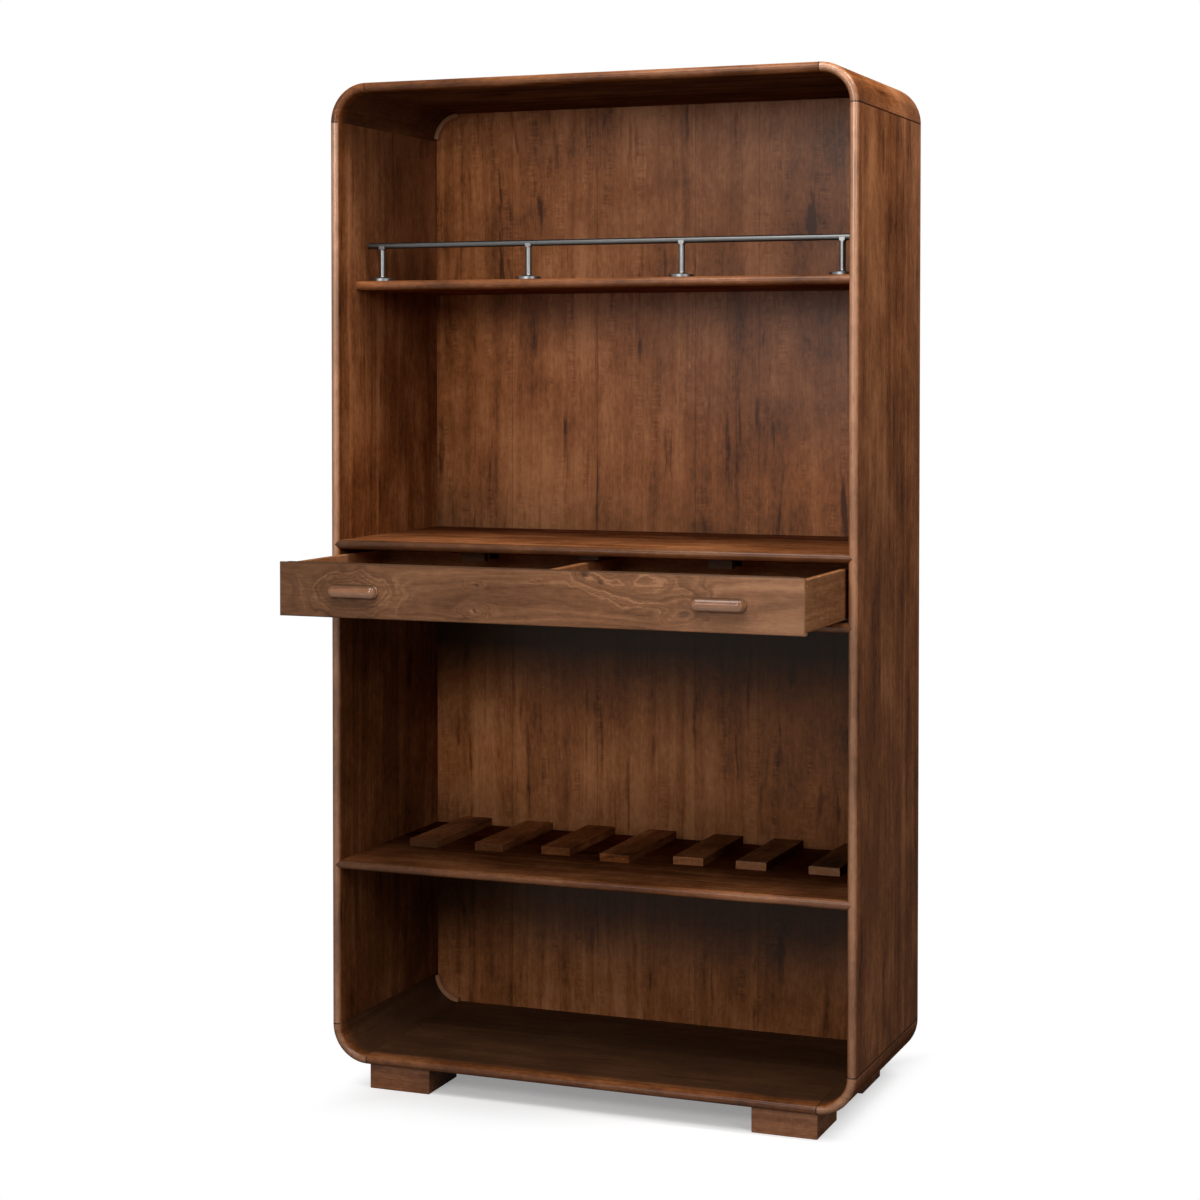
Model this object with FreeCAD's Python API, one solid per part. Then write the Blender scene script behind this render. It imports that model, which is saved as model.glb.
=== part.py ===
import FreeCAD, Part
import os

# Bar cabinet: a rounded open carcass with four shelves, a bottle rack, a gallery rail and one
# wide drawer, which stands partly open. Sizes are in millimetres.
# x runs to the right, y to the back and z up. While the pieces are made, the carcass front is
# y = 0 and the floor is z = 0. The last function puts the origin under the middle of the whole.

# Carcass
width = 1070.0
carcass_height = 1930.0
depth = 465.0
board = 18.0
corner_radius = 75.0
seam_chamfer = 0.8
back_thickness = 5.0
rebate_width = 9.0
back_clearance = 0.5
overrun = 1.0
straight_share = 0.000001
diagonal_share = 0.5 ** 0.5
level_share = 0.01

# Loose tongues that join the corner pieces to the flat boards
tongue_thickness = 5.0
tongue_half_width = 10.0
tongue_margin = 45.0

# Shelves, by the clear height of each bay: three from the bottom up, and the one at the top.
# The open bay between them takes what is left.
bottom_bay = 364.5
bottle_bay = 489.5
drawer_bay = 108.5
top_bay = 366.0
upper_shelf_setback = 78.0
housing_depth = 6.0
housing_stop = 16.0

# Curved cleats in the back corners
cleat_thickness = 9.0
cleat_depth = 15.0
cleat_clearance = 0.3
cleat_turn = 82.0

# Bottle rack
batten_count = 7
batten_width = 62.0
batten_thickness = 16.0
batten_ease = 1.5
batten_front = 182.0
batten_spread = 28.0
batten_front_shares = (0.1, 0.45, 0.9, 0.0, 0.9, 0.95, 1.0)
batten_slip = 12.0
batten_slip_shares = (-0.85, -0.56, -0.32, -0.47, 0.17, -0.55, 0.27)

# Feet
foot_width = 128.0
foot_depth = 132.0
foot_height = 50.0
foot_front = 16.0
foot_inset = 1.5
foot_ease = 2.0
foot_screw_share = 0.25
foot_bore_radius = 6.0
foot_bore_depth = 22.0

# Gallery rail
gallery_margin = 42.0
rod_radius = 6.0
rod_gap = 11.0
rod_rise = 70.5
rod_ease = 0.8
post_count = 4
post_radius = 6.0
post_flare = 2.0
post_flare_height = 5.0
flange_radius = 24.5
flange_rim = 5.0
flange_thickness = 7.5
flange_inset = 0.5
flange_screw_count = 3
flange_screw_ring = 16.0

# Drawer
drawer_open = 262.0
drawer_travel_gap = 0.3
drawer_side_gap = 5.6
drawer_depth = 425.0
drawer_lift = 1.0
drawer_top_gap = 6.0
front_thickness = 18.0
front_ease = 2.5
lap_cover = 6.0
side_thickness = 12.0
side_drop = 4.2
side_ease = 2.0
tongue_notch = 11.0
floor_thickness = 5.0
floor_rise = 8.0
floor_groove = 5.0
drawer_back_thickness = 12.0
drawer_back_drop = 3.0
drawer_dado = 4.0
divider_thickness = 16.0

# Drawer pulls
pull_length = 100.0
pull_radius = 12.0
pull_rim = 3.0
pull_groove = 2.5
pull_inset = 155.4
pull_screw_spacing = 64.0

# What carries, guides and stops the drawer
runner_thickness = 6.0
runner_bearing = 14.0
runner_front = 30.0
runner_rear_gap = 5.0
running_clearance = 0.3
guide_height = 26.0
guide_clearance = 0.5
kicker_width = 40.0
kicker_clearance = 4.0
stop_offset = 200.0
stop_width = 40.0
stop_depth = 30.0
stop_height = 9.0

# Turn buttons under the shelf above, which keep the drawer from coming out
button_length = 50.0
button_width = 18.0
button_height = 20.0
button_y = 66.0
button_ease = 2.0
button_clearance = 0.3
pivot_clearance = 0.1
notch_side_clearance = 1.0
notch_floor_clearance = 3.0

# Screws, by shank radius, head radius and length
screw_fit = 0.2
small_screw = (1.5, 3.0, 14.0)
back_screw = (1.5, 3.2, 16.0)
foot_screw = (2.5, 5.0, 40.0)
pull_screw = (2.0, 4.5, 26.0)
button_screw = (2.0, 4.5, 32.0)
pull_head_height = 2.5
back_screw_inset = 5.0
side_back_screws = 7
end_back_screws = 4
shelf_back_screws = 3

# Places that follow from the sizes above
nose = board / 2
half_width = width / 2
inner_half = half_width - board
rear_inside = depth - back_thickness
carcass_bottom = foot_height
carcass_top = foot_height + carcass_height
bottle_shelf_bottom = carcass_bottom + board + bottom_bay
bottle_shelf_top = bottle_shelf_bottom + board
dust_shelf_bottom = bottle_shelf_top + bottle_bay
dust_shelf_top = dust_shelf_bottom + board
middle_shelf_bottom = dust_shelf_top + drawer_bay
upper_shelf_top = carcass_top - board - top_bay
upper_shelf_bottom = upper_shelf_top - board
corner_x = half_width - corner_radius
corner_top_z = carcass_top - corner_radius
corner_bottom_z = carcass_bottom + corner_radius
mid_z = (carcass_bottom + carcass_top) / 2

closed_front = nose
drawer_front_y = closed_front - drawer_open
drawer_half = inner_half - drawer_side_gap
drawer_front_bottom = dust_shelf_top + drawer_lift
drawer_front_top = middle_shelf_bottom - drawer_top_gap
drawer_inside_y = drawer_front_y + front_thickness
drawer_rear_y = drawer_front_y + drawer_depth
drawer_back_y = drawer_rear_y - drawer_back_thickness
side_bottom = dust_shelf_top + runner_thickness + running_clearance
side_top = drawer_front_top - side_drop
side_inner = drawer_half - side_thickness
floor_bottom = side_bottom + floor_rise
floor_top = floor_bottom + floor_thickness
drawer_back_top = side_top - drawer_back_drop
button_x = side_inner / 2 + divider_thickness / 4
button_top = middle_shelf_bottom - button_clearance
pull_depth = pull_rim + 2 * pull_groove + pull_radius
pull_x = drawer_half - pull_inset
gallery_y = upper_shelf_setback + nose + flange_inset + flange_radius
rod_z = upper_shelf_top + rod_rise
stop_front = closed_front + front_thickness + drawer_travel_gap

UP = FreeCAD.Vector(0, 0, 1)
BACK = FreeCAD.Vector(0, 1, 0)
RIGHT = FreeCAD.Vector(1, 0, 0)


def point(x, y, z):
    return FreeCAD.Vector(x, y, z)


def box(x_low, x_high, y_low, y_high, z_low, z_high):
    size = point(x_high - x_low, y_high - y_low, z_high - z_low)
    return Part.makeBox(size.x, size.y, size.z, point(x_low, y_low, z_low))


def flip_x(shape):
    """The same piece on the other side of the cabinet."""
    return shape.mirror(point(0, 0, 0), RIGHT)


def flip_z(shape):
    """The same piece at the other end of the carcass height."""
    return shape.mirror(point(0, 0, mid_z), UP)


def both_sides(shape):
    return [shape, flip_x(shape)]


def without(shape, tools):
    """The shape with every tool cut out of it."""
    return shape.cut(tools) if tools else shape


def face_of(edges):
    return Part.Face(Part.Wire([edge.toShape() for edge in edges]))


def polyline(points):
    """Straight edges through the points, open at the end."""
    return [Part.LineSegment(a, b) for a, b in zip(points, points[1:])]


def edges_along(shape, direction, test):
    """The straight edges that run along a direction and whose middle passes the test."""
    found = []
    for edge in shape.Edges:
        ends = edge.Vertexes
        if len(ends) != 2:
            continue
        run = ends[1].Point - ends[0].Point
        if run.Length > 0 and run.cross(direction).Length < run.Length * straight_share:
            if test((ends[0].Point + ends[1].Point) / 2):
                found.append(edge)
    return found


def screw(size, tip, direction, grow=0):
    """A countersunk screw whose flat head faces against its direction; grow widens it as a tool."""
    shank, head, length = size
    cone = Part.makeCone(head + grow, shank + grow, head - shank, tip, direction)
    body = Part.makeCylinder(shank + grow, length, tip, direction)
    return cone.fuse(body)


def spread(count, low, high):
    """Evenly spaced places from low to high."""
    if count < 2:
        return [(low + high) / 2]
    return [low + (high - low) * i / (count - 1) for i in range(count)]


# Carcass boards

def board_section(place):
    """Section of a carcass board: round front, square outer rear, rebate for the back panel.
    place turns a depth below the outer face and a y into a point."""
    corners = [
        place(board, nose),
        place(board, rear_inside),
        place(board - rebate_width, rear_inside),
        place(board - rebate_width, depth),
        place(0, depth),
        place(0, nose),
    ]
    front = Part.Arc(place(0, nose), place(nose, 0), place(board, nose))
    return face_of(polyline(corners) + [front])


def ease_seam(shape, direction, level):
    """Small chamfers round an end of a board, where it meets its neighbour."""
    def at_level(edge):
        near = seam_chamfer * level_share
        return all(abs(v.Point.dot(direction) - level) < near for v in edge.Vertexes)
    rim = [edge for edge in shape.Edges if at_level(edge)]
    return shape.makeChamfer(seam_chamfer, rim)


def plain_side():
    """Right side board, before its housings are cut."""
    section = board_section(lambda inward, y: point(half_width - inward, y, corner_bottom_z))
    side = section.extrude(UP * (corner_top_z - corner_bottom_z))
    side = ease_seam(side, UP, corner_top_z)
    return ease_seam(side, UP, corner_bottom_z)


def plain_top():
    """Top board, before its grooves are cut."""
    section = board_section(lambda inward, y: point(-corner_x, y, carcass_top - inward))
    top = section.extrude(RIGHT * (2 * corner_x))
    top = ease_seam(top, RIGHT, corner_x)
    return ease_seam(top, RIGHT, -corner_x)


def plain_corner():
    """Top right quarter-round corner piece."""
    section = board_section(
        lambda inward, y: point(corner_x + corner_radius - inward, y, corner_top_z))
    corner = section.revolve(point(corner_x, 0, corner_top_z), BACK * -1, 90)
    corner = ease_seam(corner, UP, corner_top_z)
    return ease_seam(corner, RIGHT, corner_x)


def corner_tongues():
    """The two loose tongues of the top right corner."""
    low = nose - tongue_thickness / 2
    high = nose + tongue_thickness / 2
    y_low, y_high = tongue_margin, depth - tongue_margin
    upright = box(half_width - high, half_width - low, y_low, y_high,
                  corner_top_z - tongue_half_width, corner_top_z + tongue_half_width)
    flat = box(corner_x - tongue_half_width, corner_x + tongue_half_width, y_low, y_high,
               carcass_top - high, carcass_top - low)
    return [upright, flat]


def all_tongues():
    top = corner_tongues()
    right = top + [flip_z(tongue) for tongue in top]
    return right + [flip_x(tongue) for tongue in right]


# Shelves

def shelf_core(front, bottom):
    """A shelf between the sides, with a round front edge whose ends are fitted to the sides."""
    top = bottom + board
    middle = bottom + nose
    reach = inner_half + nose
    corners = [
        point(-reach, front + nose, top),
        point(-reach, rear_inside, top),
        point(-reach, rear_inside, bottom),
        point(-reach, front + nose, bottom),
    ]
    round_front = Part.Arc(corners[-1], point(-reach, front, middle), corners[0])
    core = face_of(polyline(corners) + [round_front]).extrude(RIGHT * (2 * reach))
    solid_side = board_section(
        lambda inward, y: point(half_width - inward, y, bottom - overrun))
    solid_side = solid_side.extrude(UP * (board + 2 * overrun))
    return core.cut(both_sides(solid_side))


def shelf_tenon(front, bottom):
    """The part of a shelf's right end that sits in the housing of the side."""
    return box(inner_half, inner_half + housing_depth, front + nose + housing_stop, rear_inside,
               bottom, bottom + board)


def shelf_places():
    """Front and bottom of each shelf."""
    return {
        "bottle_shelf": (0, bottle_shelf_bottom),
        "dust_shelf": (0, dust_shelf_bottom),
        "middle_shelf": (0, middle_shelf_bottom),
        "upper_shelf": (upper_shelf_setback, upper_shelf_bottom),
    }


def make_shelves():
    shelves = {}
    for name, (front, bottom) in shelf_places().items():
        tenons = both_sides(shelf_tenon(front, bottom))
        shelves[name] = shelf_core(front, bottom).fuse(tenons).removeSplitter()
    return shelves


# Back panel with its screws and corner cleats

def make_back_panel():
    """Thin panel with round corners that lies in the rebates."""
    reach = half_width - board + rebate_width - back_clearance
    low = carcass_bottom + board - rebate_width + back_clearance
    high = carcass_top - board + rebate_width - back_clearance
    radius = reach - corner_x
    panel = box(-reach, reach, rear_inside, depth, low, high)
    return panel.makeFillet(radius, edges_along(panel, BACK, lambda middle: True))


def back_screw_points():
    """Heads of the screws that hold the back: round its rim, in the cleats and in the shelves."""
    rim_x = half_width - board + back_screw_inset
    rim_top = carcass_top - board + back_screw_inset
    points = []
    for z in spread(side_back_screws, corner_bottom_z, corner_top_z):
        points += [point(-rim_x, depth, z), point(rim_x, depth, z)]
    for x in spread(end_back_screws, -corner_x, corner_x):
        points += [point(x, depth, rim_top), point(x, depth, 2 * mid_z - rim_top)]
    for _, bottom in shelf_places().values():
        for x in spread(shelf_back_screws + 2, -inner_half, inner_half)[1:-1]:
            points.append(point(x, depth, bottom + nose))
    return points + cleat_screw_points()


def cleat_screw_points():
    ring = corner_radius - board - cleat_clearance - cleat_thickness / 2
    offset = point(ring, 0, 0)
    offset = FreeCAD.Rotation(BACK * -1, 45).multVec(offset)
    upper = point(corner_x + offset.x, depth, corner_top_z + offset.z)
    points = []
    for x in (upper.x, -upper.x):
        points += [point(x, depth, upper.z), point(x, depth, 2 * mid_z - upper.z)]
    return points


def back_screws(grow=0):
    return [screw(back_screw, place, BACK * -1, grow) for place in back_screw_points()]


def make_cleat():
    """Top right curved cleat, against the back panel and inside the corner piece."""
    outer = corner_radius - board - cleat_clearance
    inner = outer - cleat_thickness
    low = point(corner_x + inner, rear_inside - cleat_depth, corner_top_z)
    corners = [low, low + RIGHT * cleat_thickness]
    corners += [corners[1] + BACK * cleat_depth, low + BACK * cleat_depth, low]
    centre = point(corner_x, 0, corner_top_z)
    section = face_of(polyline(corners)).rotated(centre, BACK * -1, (90 - cleat_turn) / 2)
    return section.revolve(centre, BACK * -1, cleat_turn)


# Bottle rack and feet

def make_battens():
    """Strips that keep bottles apart, each from its own front to the back panel."""
    gap = (2 * inner_half - batten_count * batten_width) / (batten_count + 1)
    battens = {}
    for i in range(batten_count):
        slip = batten_slip * batten_slip_shares[i % len(batten_slip_shares)]
        left = -inner_half + gap + i * (gap + batten_width) + slip
        front = batten_front + batten_spread * batten_front_shares[i % len(batten_front_shares)]
        top = bottle_shelf_top + batten_thickness
        strip = box(left, left + batten_width, front, rear_inside, bottle_shelf_top, top)
        long_edges = edges_along(strip, BACK, lambda middle: middle.z > top - batten_ease)
        battens["bottle_batten_%d" % (i + 1)] = strip.makeFillet(batten_ease, long_edges)
    return battens


def foot_screw_points(foot):
    """Two screw tips in a diagonal of the foot, at the bottom of their bores."""
    bounds = foot.BoundBox
    x_step = foot_width * foot_screw_share
    y_step = foot_depth * foot_screw_share
    middle = point(bounds.Center.x, bounds.Center.y, foot_bore_depth)
    step = point(x_step, y_step, 0)
    return [middle - step, middle + step]


def make_foot(y_low):
    """A block under the right side of the bottom board."""
    outer = corner_x - foot_inset
    foot = box(outer - foot_width, outer, y_low, y_low + foot_depth, 0, foot_height)
    rims = edges_along(foot, UP, lambda middle: True)
    rims += [edge for edge in foot.Edges if edge.BoundBox.ZMax < foot_ease]
    return foot.makeFillet(foot_ease, rims)


def make_feet():
    """Four feet and the screws that hold them, which go up into the bottom board."""
    front = make_foot(foot_front)
    rear = make_foot(depth - foot_depth)
    plain = {
        "foot_front_right": front,
        "foot_rear_right": rear,
        "foot_front_left": flip_x(front),
        "foot_rear_left": flip_x(rear),
    }
    feet, screws = {}, []
    for name, foot in plain.items():
        tips = foot_screw_points(foot)
        bores = [Part.makeCylinder(foot_bore_radius, foot_bore_depth, point(tip.x, tip.y, 0))
                 for tip in tips]
        screws += [screw(foot_screw, tip, UP) for tip in tips]
        holes = [screw(foot_screw, tip, UP, screw_fit) for tip in tips]
        feet[name] = without(foot, bores + holes)
    return feet, screws


# Gallery rail

def post_places():
    return spread(post_count, -inner_half + gallery_margin, inner_half - gallery_margin)


def make_rod():
    half = inner_half - rod_gap
    rod = Part.makeCylinder(rod_radius, 2 * half, point(-half, gallery_y, rod_z), RIGHT)
    ends = [edge for edge in rod.Edges if len(edge.Vertexes) == 1]
    return rod.makeFillet(rod_ease, ends)


def make_post(x, rod):
    """A round stem, flared onto its flange and saddled under the rod."""
    low = upper_shelf_top + flange_thickness
    rod_bottom = rod_z - rod_radius
    wide = post_radius + post_flare
    stem = Part.makeCylinder(post_radius, rod_z - low, point(0, 0, low))
    lower_flare = flare().translated(point(0, 0, low))
    upper_flare = flare().mirror(point(0, 0, 0), UP).translated(point(0, 0, rod_bottom))
    saddle = Part.makeCylinder(wide, rod_radius, point(0, 0, rod_bottom)).fuse(upper_flare)
    saddle = saddle.common(box(-wide, wide, -rod_radius, rod_radius, low, rod_z))
    post = stem.fuse([lower_flare, saddle]).translated(point(x, gallery_y, 0))
    return post.cut(rod).removeSplitter()


def flare():
    """A hollow-sided cone that narrows upwards to the post's radius."""
    low = point(post_radius + post_flare, 0, 0)
    bend = point(post_radius + post_flare / 4, 0, post_flare_height / 3)
    neck = point(post_radius, 0, post_flare_height)
    rest = polyline([neck, point(0, 0, post_flare_height), point(0, 0, 0), low])
    return face_of([Part.Arc(low, bend, neck)] + rest).revolve(point(0, 0, 0), UP, 360)


def flange_screws(x, grow=0):
    """Screws of one flange, with their heads let into its sloping top."""
    head = small_screw[1]
    height = upper_shelf_top + flange_height_at(flange_screw_ring + head)
    screws = []
    for i in range(flange_screw_count):
        turn = FreeCAD.Rotation(UP, 90 + 360 * i / flange_screw_count)
        arm = turn.multVec(point(flange_screw_ring, 0, 0))
        place = point(x + arm.x, gallery_y + arm.y, height)
        screws.append(screw(small_screw, place, UP * -1, grow))
    return screws


def flange_height_at(radius):
    """Height of the flange's sloping top at a distance from its middle."""
    slope = (flange_thickness - flange_rim) / (flange_radius - post_radius - post_flare)
    return flange_rim + slope * (flange_radius - radius)


def make_flange(x):
    """A low round plate that slopes from its middle to its rim."""
    flat = post_radius + post_flare
    outline = [
        point(0, 0, 0),
        point(flange_radius, 0, 0),
        point(flange_radius, 0, flange_rim),
        point(flat, 0, flange_thickness),
        point(0, 0, flange_thickness),
        point(0, 0, 0),
    ]
    plate = face_of(polyline(outline)).revolve(point(0, 0, 0), UP, 360)
    plate = plate.translated(point(x, gallery_y, upper_shelf_top))
    return without(plate, flange_screws(x, screw_fit))


def make_gallery():
    rod = make_rod()
    pieces = {"gallery_rod": rod}
    screws = []
    for i, x in enumerate(post_places()):
        pieces["gallery_post_%d" % (i + 1)] = make_post(x, rod)
        pieces["gallery_flange_%d" % (i + 1)] = make_flange(x)
        screws += flange_screws(x)
    return pieces, screws


# Drawer, partly open

def make_drawer_floor():
    """Thin floor panel that lies in grooves on all four sides."""
    reach = side_inner + floor_groove
    return box(-reach, reach, drawer_inside_y - floor_groove, drawer_back_y + floor_groove,
               floor_bottom, floor_top)


def make_drawer_back():
    reach = side_inner + drawer_dado
    back = box(-reach, reach, drawer_back_y, drawer_rear_y, side_bottom, drawer_back_top)
    notch_half = button_width / 2 + notch_side_clearance
    notch = box(button_x - notch_half, button_x + notch_half,
                drawer_back_y - overrun, drawer_rear_y + overrun,
                button_top - button_height - notch_floor_clearance, drawer_back_top + overrun)
    return back.cut(both_sides(notch))


def make_divider():
    half = divider_thickness / 2
    divider = box(-half, half, drawer_inside_y - drawer_dado, drawer_back_y + drawer_dado,
                  floor_top, drawer_back_top)
    top_edges = edges_along(divider, BACK, lambda middle: middle.z > drawer_back_top - side_ease)
    return divider.makeFillet(side_ease, top_edges)


def make_drawer_side():
    """Right side: its front end laps into the front and is cut down there at the top."""
    lap_y = drawer_front_y + lap_cover
    side = box(side_inner, drawer_half, lap_y, drawer_rear_y, side_bottom, side_top)
    top_edges = edges_along(side, BACK, lambda middle: middle.z > side_top - side_ease)
    side = side.makeFillet(side_ease, top_edges)
    end_cut = box(side_inner - overrun, drawer_half + overrun, lap_y - overrun, drawer_inside_y,
                  side_top - tongue_notch, side_top + overrun)
    return side.cut(end_cut)


def drawer_lap():
    """The space that a side takes in the right end of the front, open at the top."""
    return box(side_inner, drawer_half + overrun, drawer_front_y + lap_cover,
               drawer_inside_y + overrun, side_bottom, drawer_front_top + overrun)


def make_drawer_front():
    front = box(-drawer_half, drawer_half, drawer_front_y, drawer_inside_y,
                drawer_front_bottom, drawer_front_top)
    face_edges = [edge for edge in front.Edges if edge.BoundBox.YMax < drawer_front_y + front_ease]
    return front.makeFillet(front_ease, face_edges).cut(both_sides(drawer_lap()))


def pull_section_edges():
    """Half outline of the pull, from its flat back to the tip of its round front."""
    shoulder = pull_rim + 2 * pull_groove
    slant = pull_radius * diagonal_share
    return [
        Part.LineSegment(point(0, 0, 0), point(pull_radius, 0, 0)),
        Part.LineSegment(point(pull_radius, 0, 0), point(pull_radius, -pull_rim, 0)),
        Part.Arc(point(pull_radius, -pull_rim, 0),
                 point(pull_radius - pull_groove, -pull_rim - pull_groove, 0),
                 point(pull_radius, -shoulder, 0)),
        Part.Arc(point(pull_radius, -shoulder, 0), point(slant, -shoulder - slant, 0),
                 point(0, -pull_depth, 0)),
        Part.LineSegment(point(0, -pull_depth, 0), point(0, 0, 0)),
    ]


def make_pull(x):
    """A pill-shaped pull with a finger groove round its sides."""
    half = pull_length / 2 - pull_radius
    end = face_of(pull_section_edges()).revolve(point(0, 0, 0), BACK, 360)
    half_section = face_of(pull_section_edges()).rotated(point(0, 0, 0), BACK, 90)
    middle = half_section.extrude(RIGHT * (2 * half)).translated(RIGHT * -half)
    lower = middle.mirror(point(0, 0, 0), UP)
    ends = [end.translated(RIGHT * half), end.translated(RIGHT * -half)]
    pull = middle.fuse([lower] + ends).removeSplitter()
    height = (drawer_front_bottom + drawer_front_top) / 2
    return pull.translated(point(x, drawer_front_y, height))


def pull_screws(x, grow=0):
    """Two round-head screws of one pull, put in from inside the drawer front."""
    height = (drawer_front_bottom + drawer_front_top) / 2
    shank, head, length = pull_screw
    screws = []
    for side in (-1, 1):
        place = point(x + side * pull_screw_spacing / 2, drawer_inside_y, height)
        body = Part.makeCylinder(shank + grow, length, place, BACK * -1)
        if grow == 0:
            dome = Part.makeCylinder(head, pull_head_height, place, BACK)
            rim = [edge for edge in dome.Edges if edge.BoundBox.YMin > place.y]
            body = body.fuse(dome.makeFillet(pull_head_height / 2, rim))
        screws.append(body)
    return screws


def make_drawer():
    floor = make_drawer_floor()
    back = make_drawer_back()
    divider = make_divider()
    side = make_drawer_side().cut([floor, back])
    pulls = {"pull_right": make_pull(pull_x), "pull_left": make_pull(-pull_x)}
    screws = pull_screws(pull_x) + pull_screws(-pull_x)
    holes = pull_screws(pull_x, screw_fit) + pull_screws(-pull_x, screw_fit)
    pieces = {
        "drawer_front": make_drawer_front().cut([floor, divider] + holes),
        "drawer_side_right": side,
        "drawer_side_left": flip_x(side),
        "drawer_back": back.cut([divider, floor]),
        "drawer_floor": floor,
        "drawer_divider": divider,
        "pull_screws": Part.makeCompound(screws),
    }
    for name, pull in pulls.items():
        pieces[name] = without(pull, screws)
    return pieces


# What the drawer runs on, under and against inside the carcass

def make_runner():
    """Right runner: the strip that carries the drawer side."""
    return box(drawer_half - runner_bearing, drawer_half + guide_clearance, runner_front,
               rear_inside - runner_rear_gap, dust_shelf_top, dust_shelf_top + runner_thickness)


def make_guide():
    """Right guide: the strip beside the drawer side, against the side board."""
    return box(drawer_half + guide_clearance, inner_half, runner_front,
               rear_inside - runner_rear_gap, dust_shelf_top, dust_shelf_top + guide_height)


def make_kicker():
    """Strip over the middle of the drawer that keeps it from tipping when it is open."""
    half = kicker_width / 2
    return box(-half, half, runner_front, rear_inside - runner_rear_gap,
               drawer_back_top + kicker_clearance, middle_shelf_bottom)


def make_stop():
    """Right block on the shelf below, which the drawer front meets when it is shut."""
    half = stop_width / 2
    return box(stop_offset - half, stop_offset + half, stop_front, stop_front + stop_depth,
               dust_shelf_top, dust_shelf_top + stop_height)


def button_fixing(grow=0):
    """The screw on which the right turn button turns."""
    return screw(button_screw, point(button_x, button_y, button_top - button_height), UP, grow)


def make_button():
    """Right turn button, set across the notch of the drawer back so that it catches the back."""
    reach, half = button_length / 2, button_width / 2
    button = box(button_x - reach, button_x + reach, button_y - half, button_y + half,
                 button_top - button_height, button_top)
    button = button.makeFillet(button_ease, edges_along(button, UP, lambda middle: True))
    return button.cut(button_fixing(pivot_clearance))


def make_guides():
    """What carries, steers and stops the drawer, and what holds it in."""
    pieces = {"drawer_kicker": make_kicker()}
    makers = {
        "drawer_runner": make_runner,
        "drawer_guide": make_guide,
        "drawer_stop": make_stop,
        "turn_button": make_button,
    }
    for name, make in makers.items():
        piece = make()
        pieces[name + "_right"] = piece
        pieces[name + "_left"] = flip_x(piece)
    pieces["turn_button_screws"] = Part.makeCompound(both_sides(button_fixing()))
    return pieces


def make_carcass():
    """Boards, corners, shelves and back, with the housings and grooves that join them."""
    tongues = all_tongues()
    shelves = make_shelves()
    tenons = [shelf_tenon(front, bottom) for front, bottom in shelf_places().values()]
    screws = back_screws()
    side = without(plain_side(), tongues + tenons)
    top = plain_top()
    corner = without(plain_corner(), tongues)
    cleat = make_cleat()
    pieces = {
        "side_panel_right": side,
        "side_panel_left": flip_x(side),
        "top_panel": without(top, tongues),
        "bottom_panel": without(flip_z(top), tongues),
        "corner_top_right": corner,
        "corner_top_left": flip_x(corner),
        "corner_bottom_right": flip_z(corner),
        "corner_bottom_left": flip_x(flip_z(corner)),
        "back_cleat_top_right": cleat,
        "back_cleat_top_left": flip_x(cleat),
        "back_cleat_bottom_right": flip_z(cleat),
        "back_cleat_bottom_left": flip_x(flip_z(cleat)),
    }
    pieces.update(shelves)
    pieces = {name: without(piece, screws) for name, piece in pieces.items()}
    pieces["back_panel"] = make_back_panel().cut(back_screws(screw_fit))
    pieces["back_screws"] = Part.makeCompound(screws)
    pieces["corner_tongues"] = Part.makeCompound(tongues)
    return pieces


def make_cabinet():
    """Every piece of the cabinet by name."""
    pieces = make_carcass()
    pieces.update(make_battens())
    feet, foot_screws = make_feet()
    gallery, gallery_screws = make_gallery()
    pieces.update(feet)
    pieces.update(gallery)
    pieces.update(make_drawer())
    pieces.update(make_guides())
    pieces["bottom_panel"] = pieces["bottom_panel"].cut(foot_screws)
    pieces["upper_shelf"] = pieces["upper_shelf"].cut(gallery_screws)
    pieces["middle_shelf"] = pieces["middle_shelf"].cut(both_sides(button_fixing()))
    pieces["foot_screws"] = Part.makeCompound(foot_screws)
    pieces["gallery_screws"] = Part.makeCompound(gallery_screws)
    return pieces


def write_parts():
    """Moves the origin to the floor under the middle of the whole and writes every piece."""
    foremost = drawer_front_y - pull_depth
    shift = point(0, -(depth + foremost) / 2, 0)
    os.makedirs("parts", exist_ok=True)
    for name, piece in make_cabinet().items():
        piece.translated(shift).exportStep("parts/%s.step" % name)


write_parts()
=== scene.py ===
import math
from contextlib import contextmanager
from random import Random

import bmesh
import bpy
from bpy.props import FloatProperty, FloatVectorProperty, IntProperty, PointerProperty
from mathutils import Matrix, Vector


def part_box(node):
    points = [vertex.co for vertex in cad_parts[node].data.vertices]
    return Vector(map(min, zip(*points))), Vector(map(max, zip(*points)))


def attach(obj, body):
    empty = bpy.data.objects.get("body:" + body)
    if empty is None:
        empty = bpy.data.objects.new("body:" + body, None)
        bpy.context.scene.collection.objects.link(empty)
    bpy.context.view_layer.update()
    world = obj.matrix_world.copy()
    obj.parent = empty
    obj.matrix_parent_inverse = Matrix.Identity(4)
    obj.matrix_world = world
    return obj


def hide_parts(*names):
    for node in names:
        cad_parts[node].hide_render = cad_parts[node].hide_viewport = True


bl_info = {
    "name": "Bar cabinet looks",
    "version": (1, 0, 0),
    "blender": (4, 5, 0),
    "location": "3D View > Sidebar > Bar cabinet",
    "description": "Dresses the bar cabinet's wooden and metal pieces and sets its stage",
    "category": "Object",
}

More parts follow.
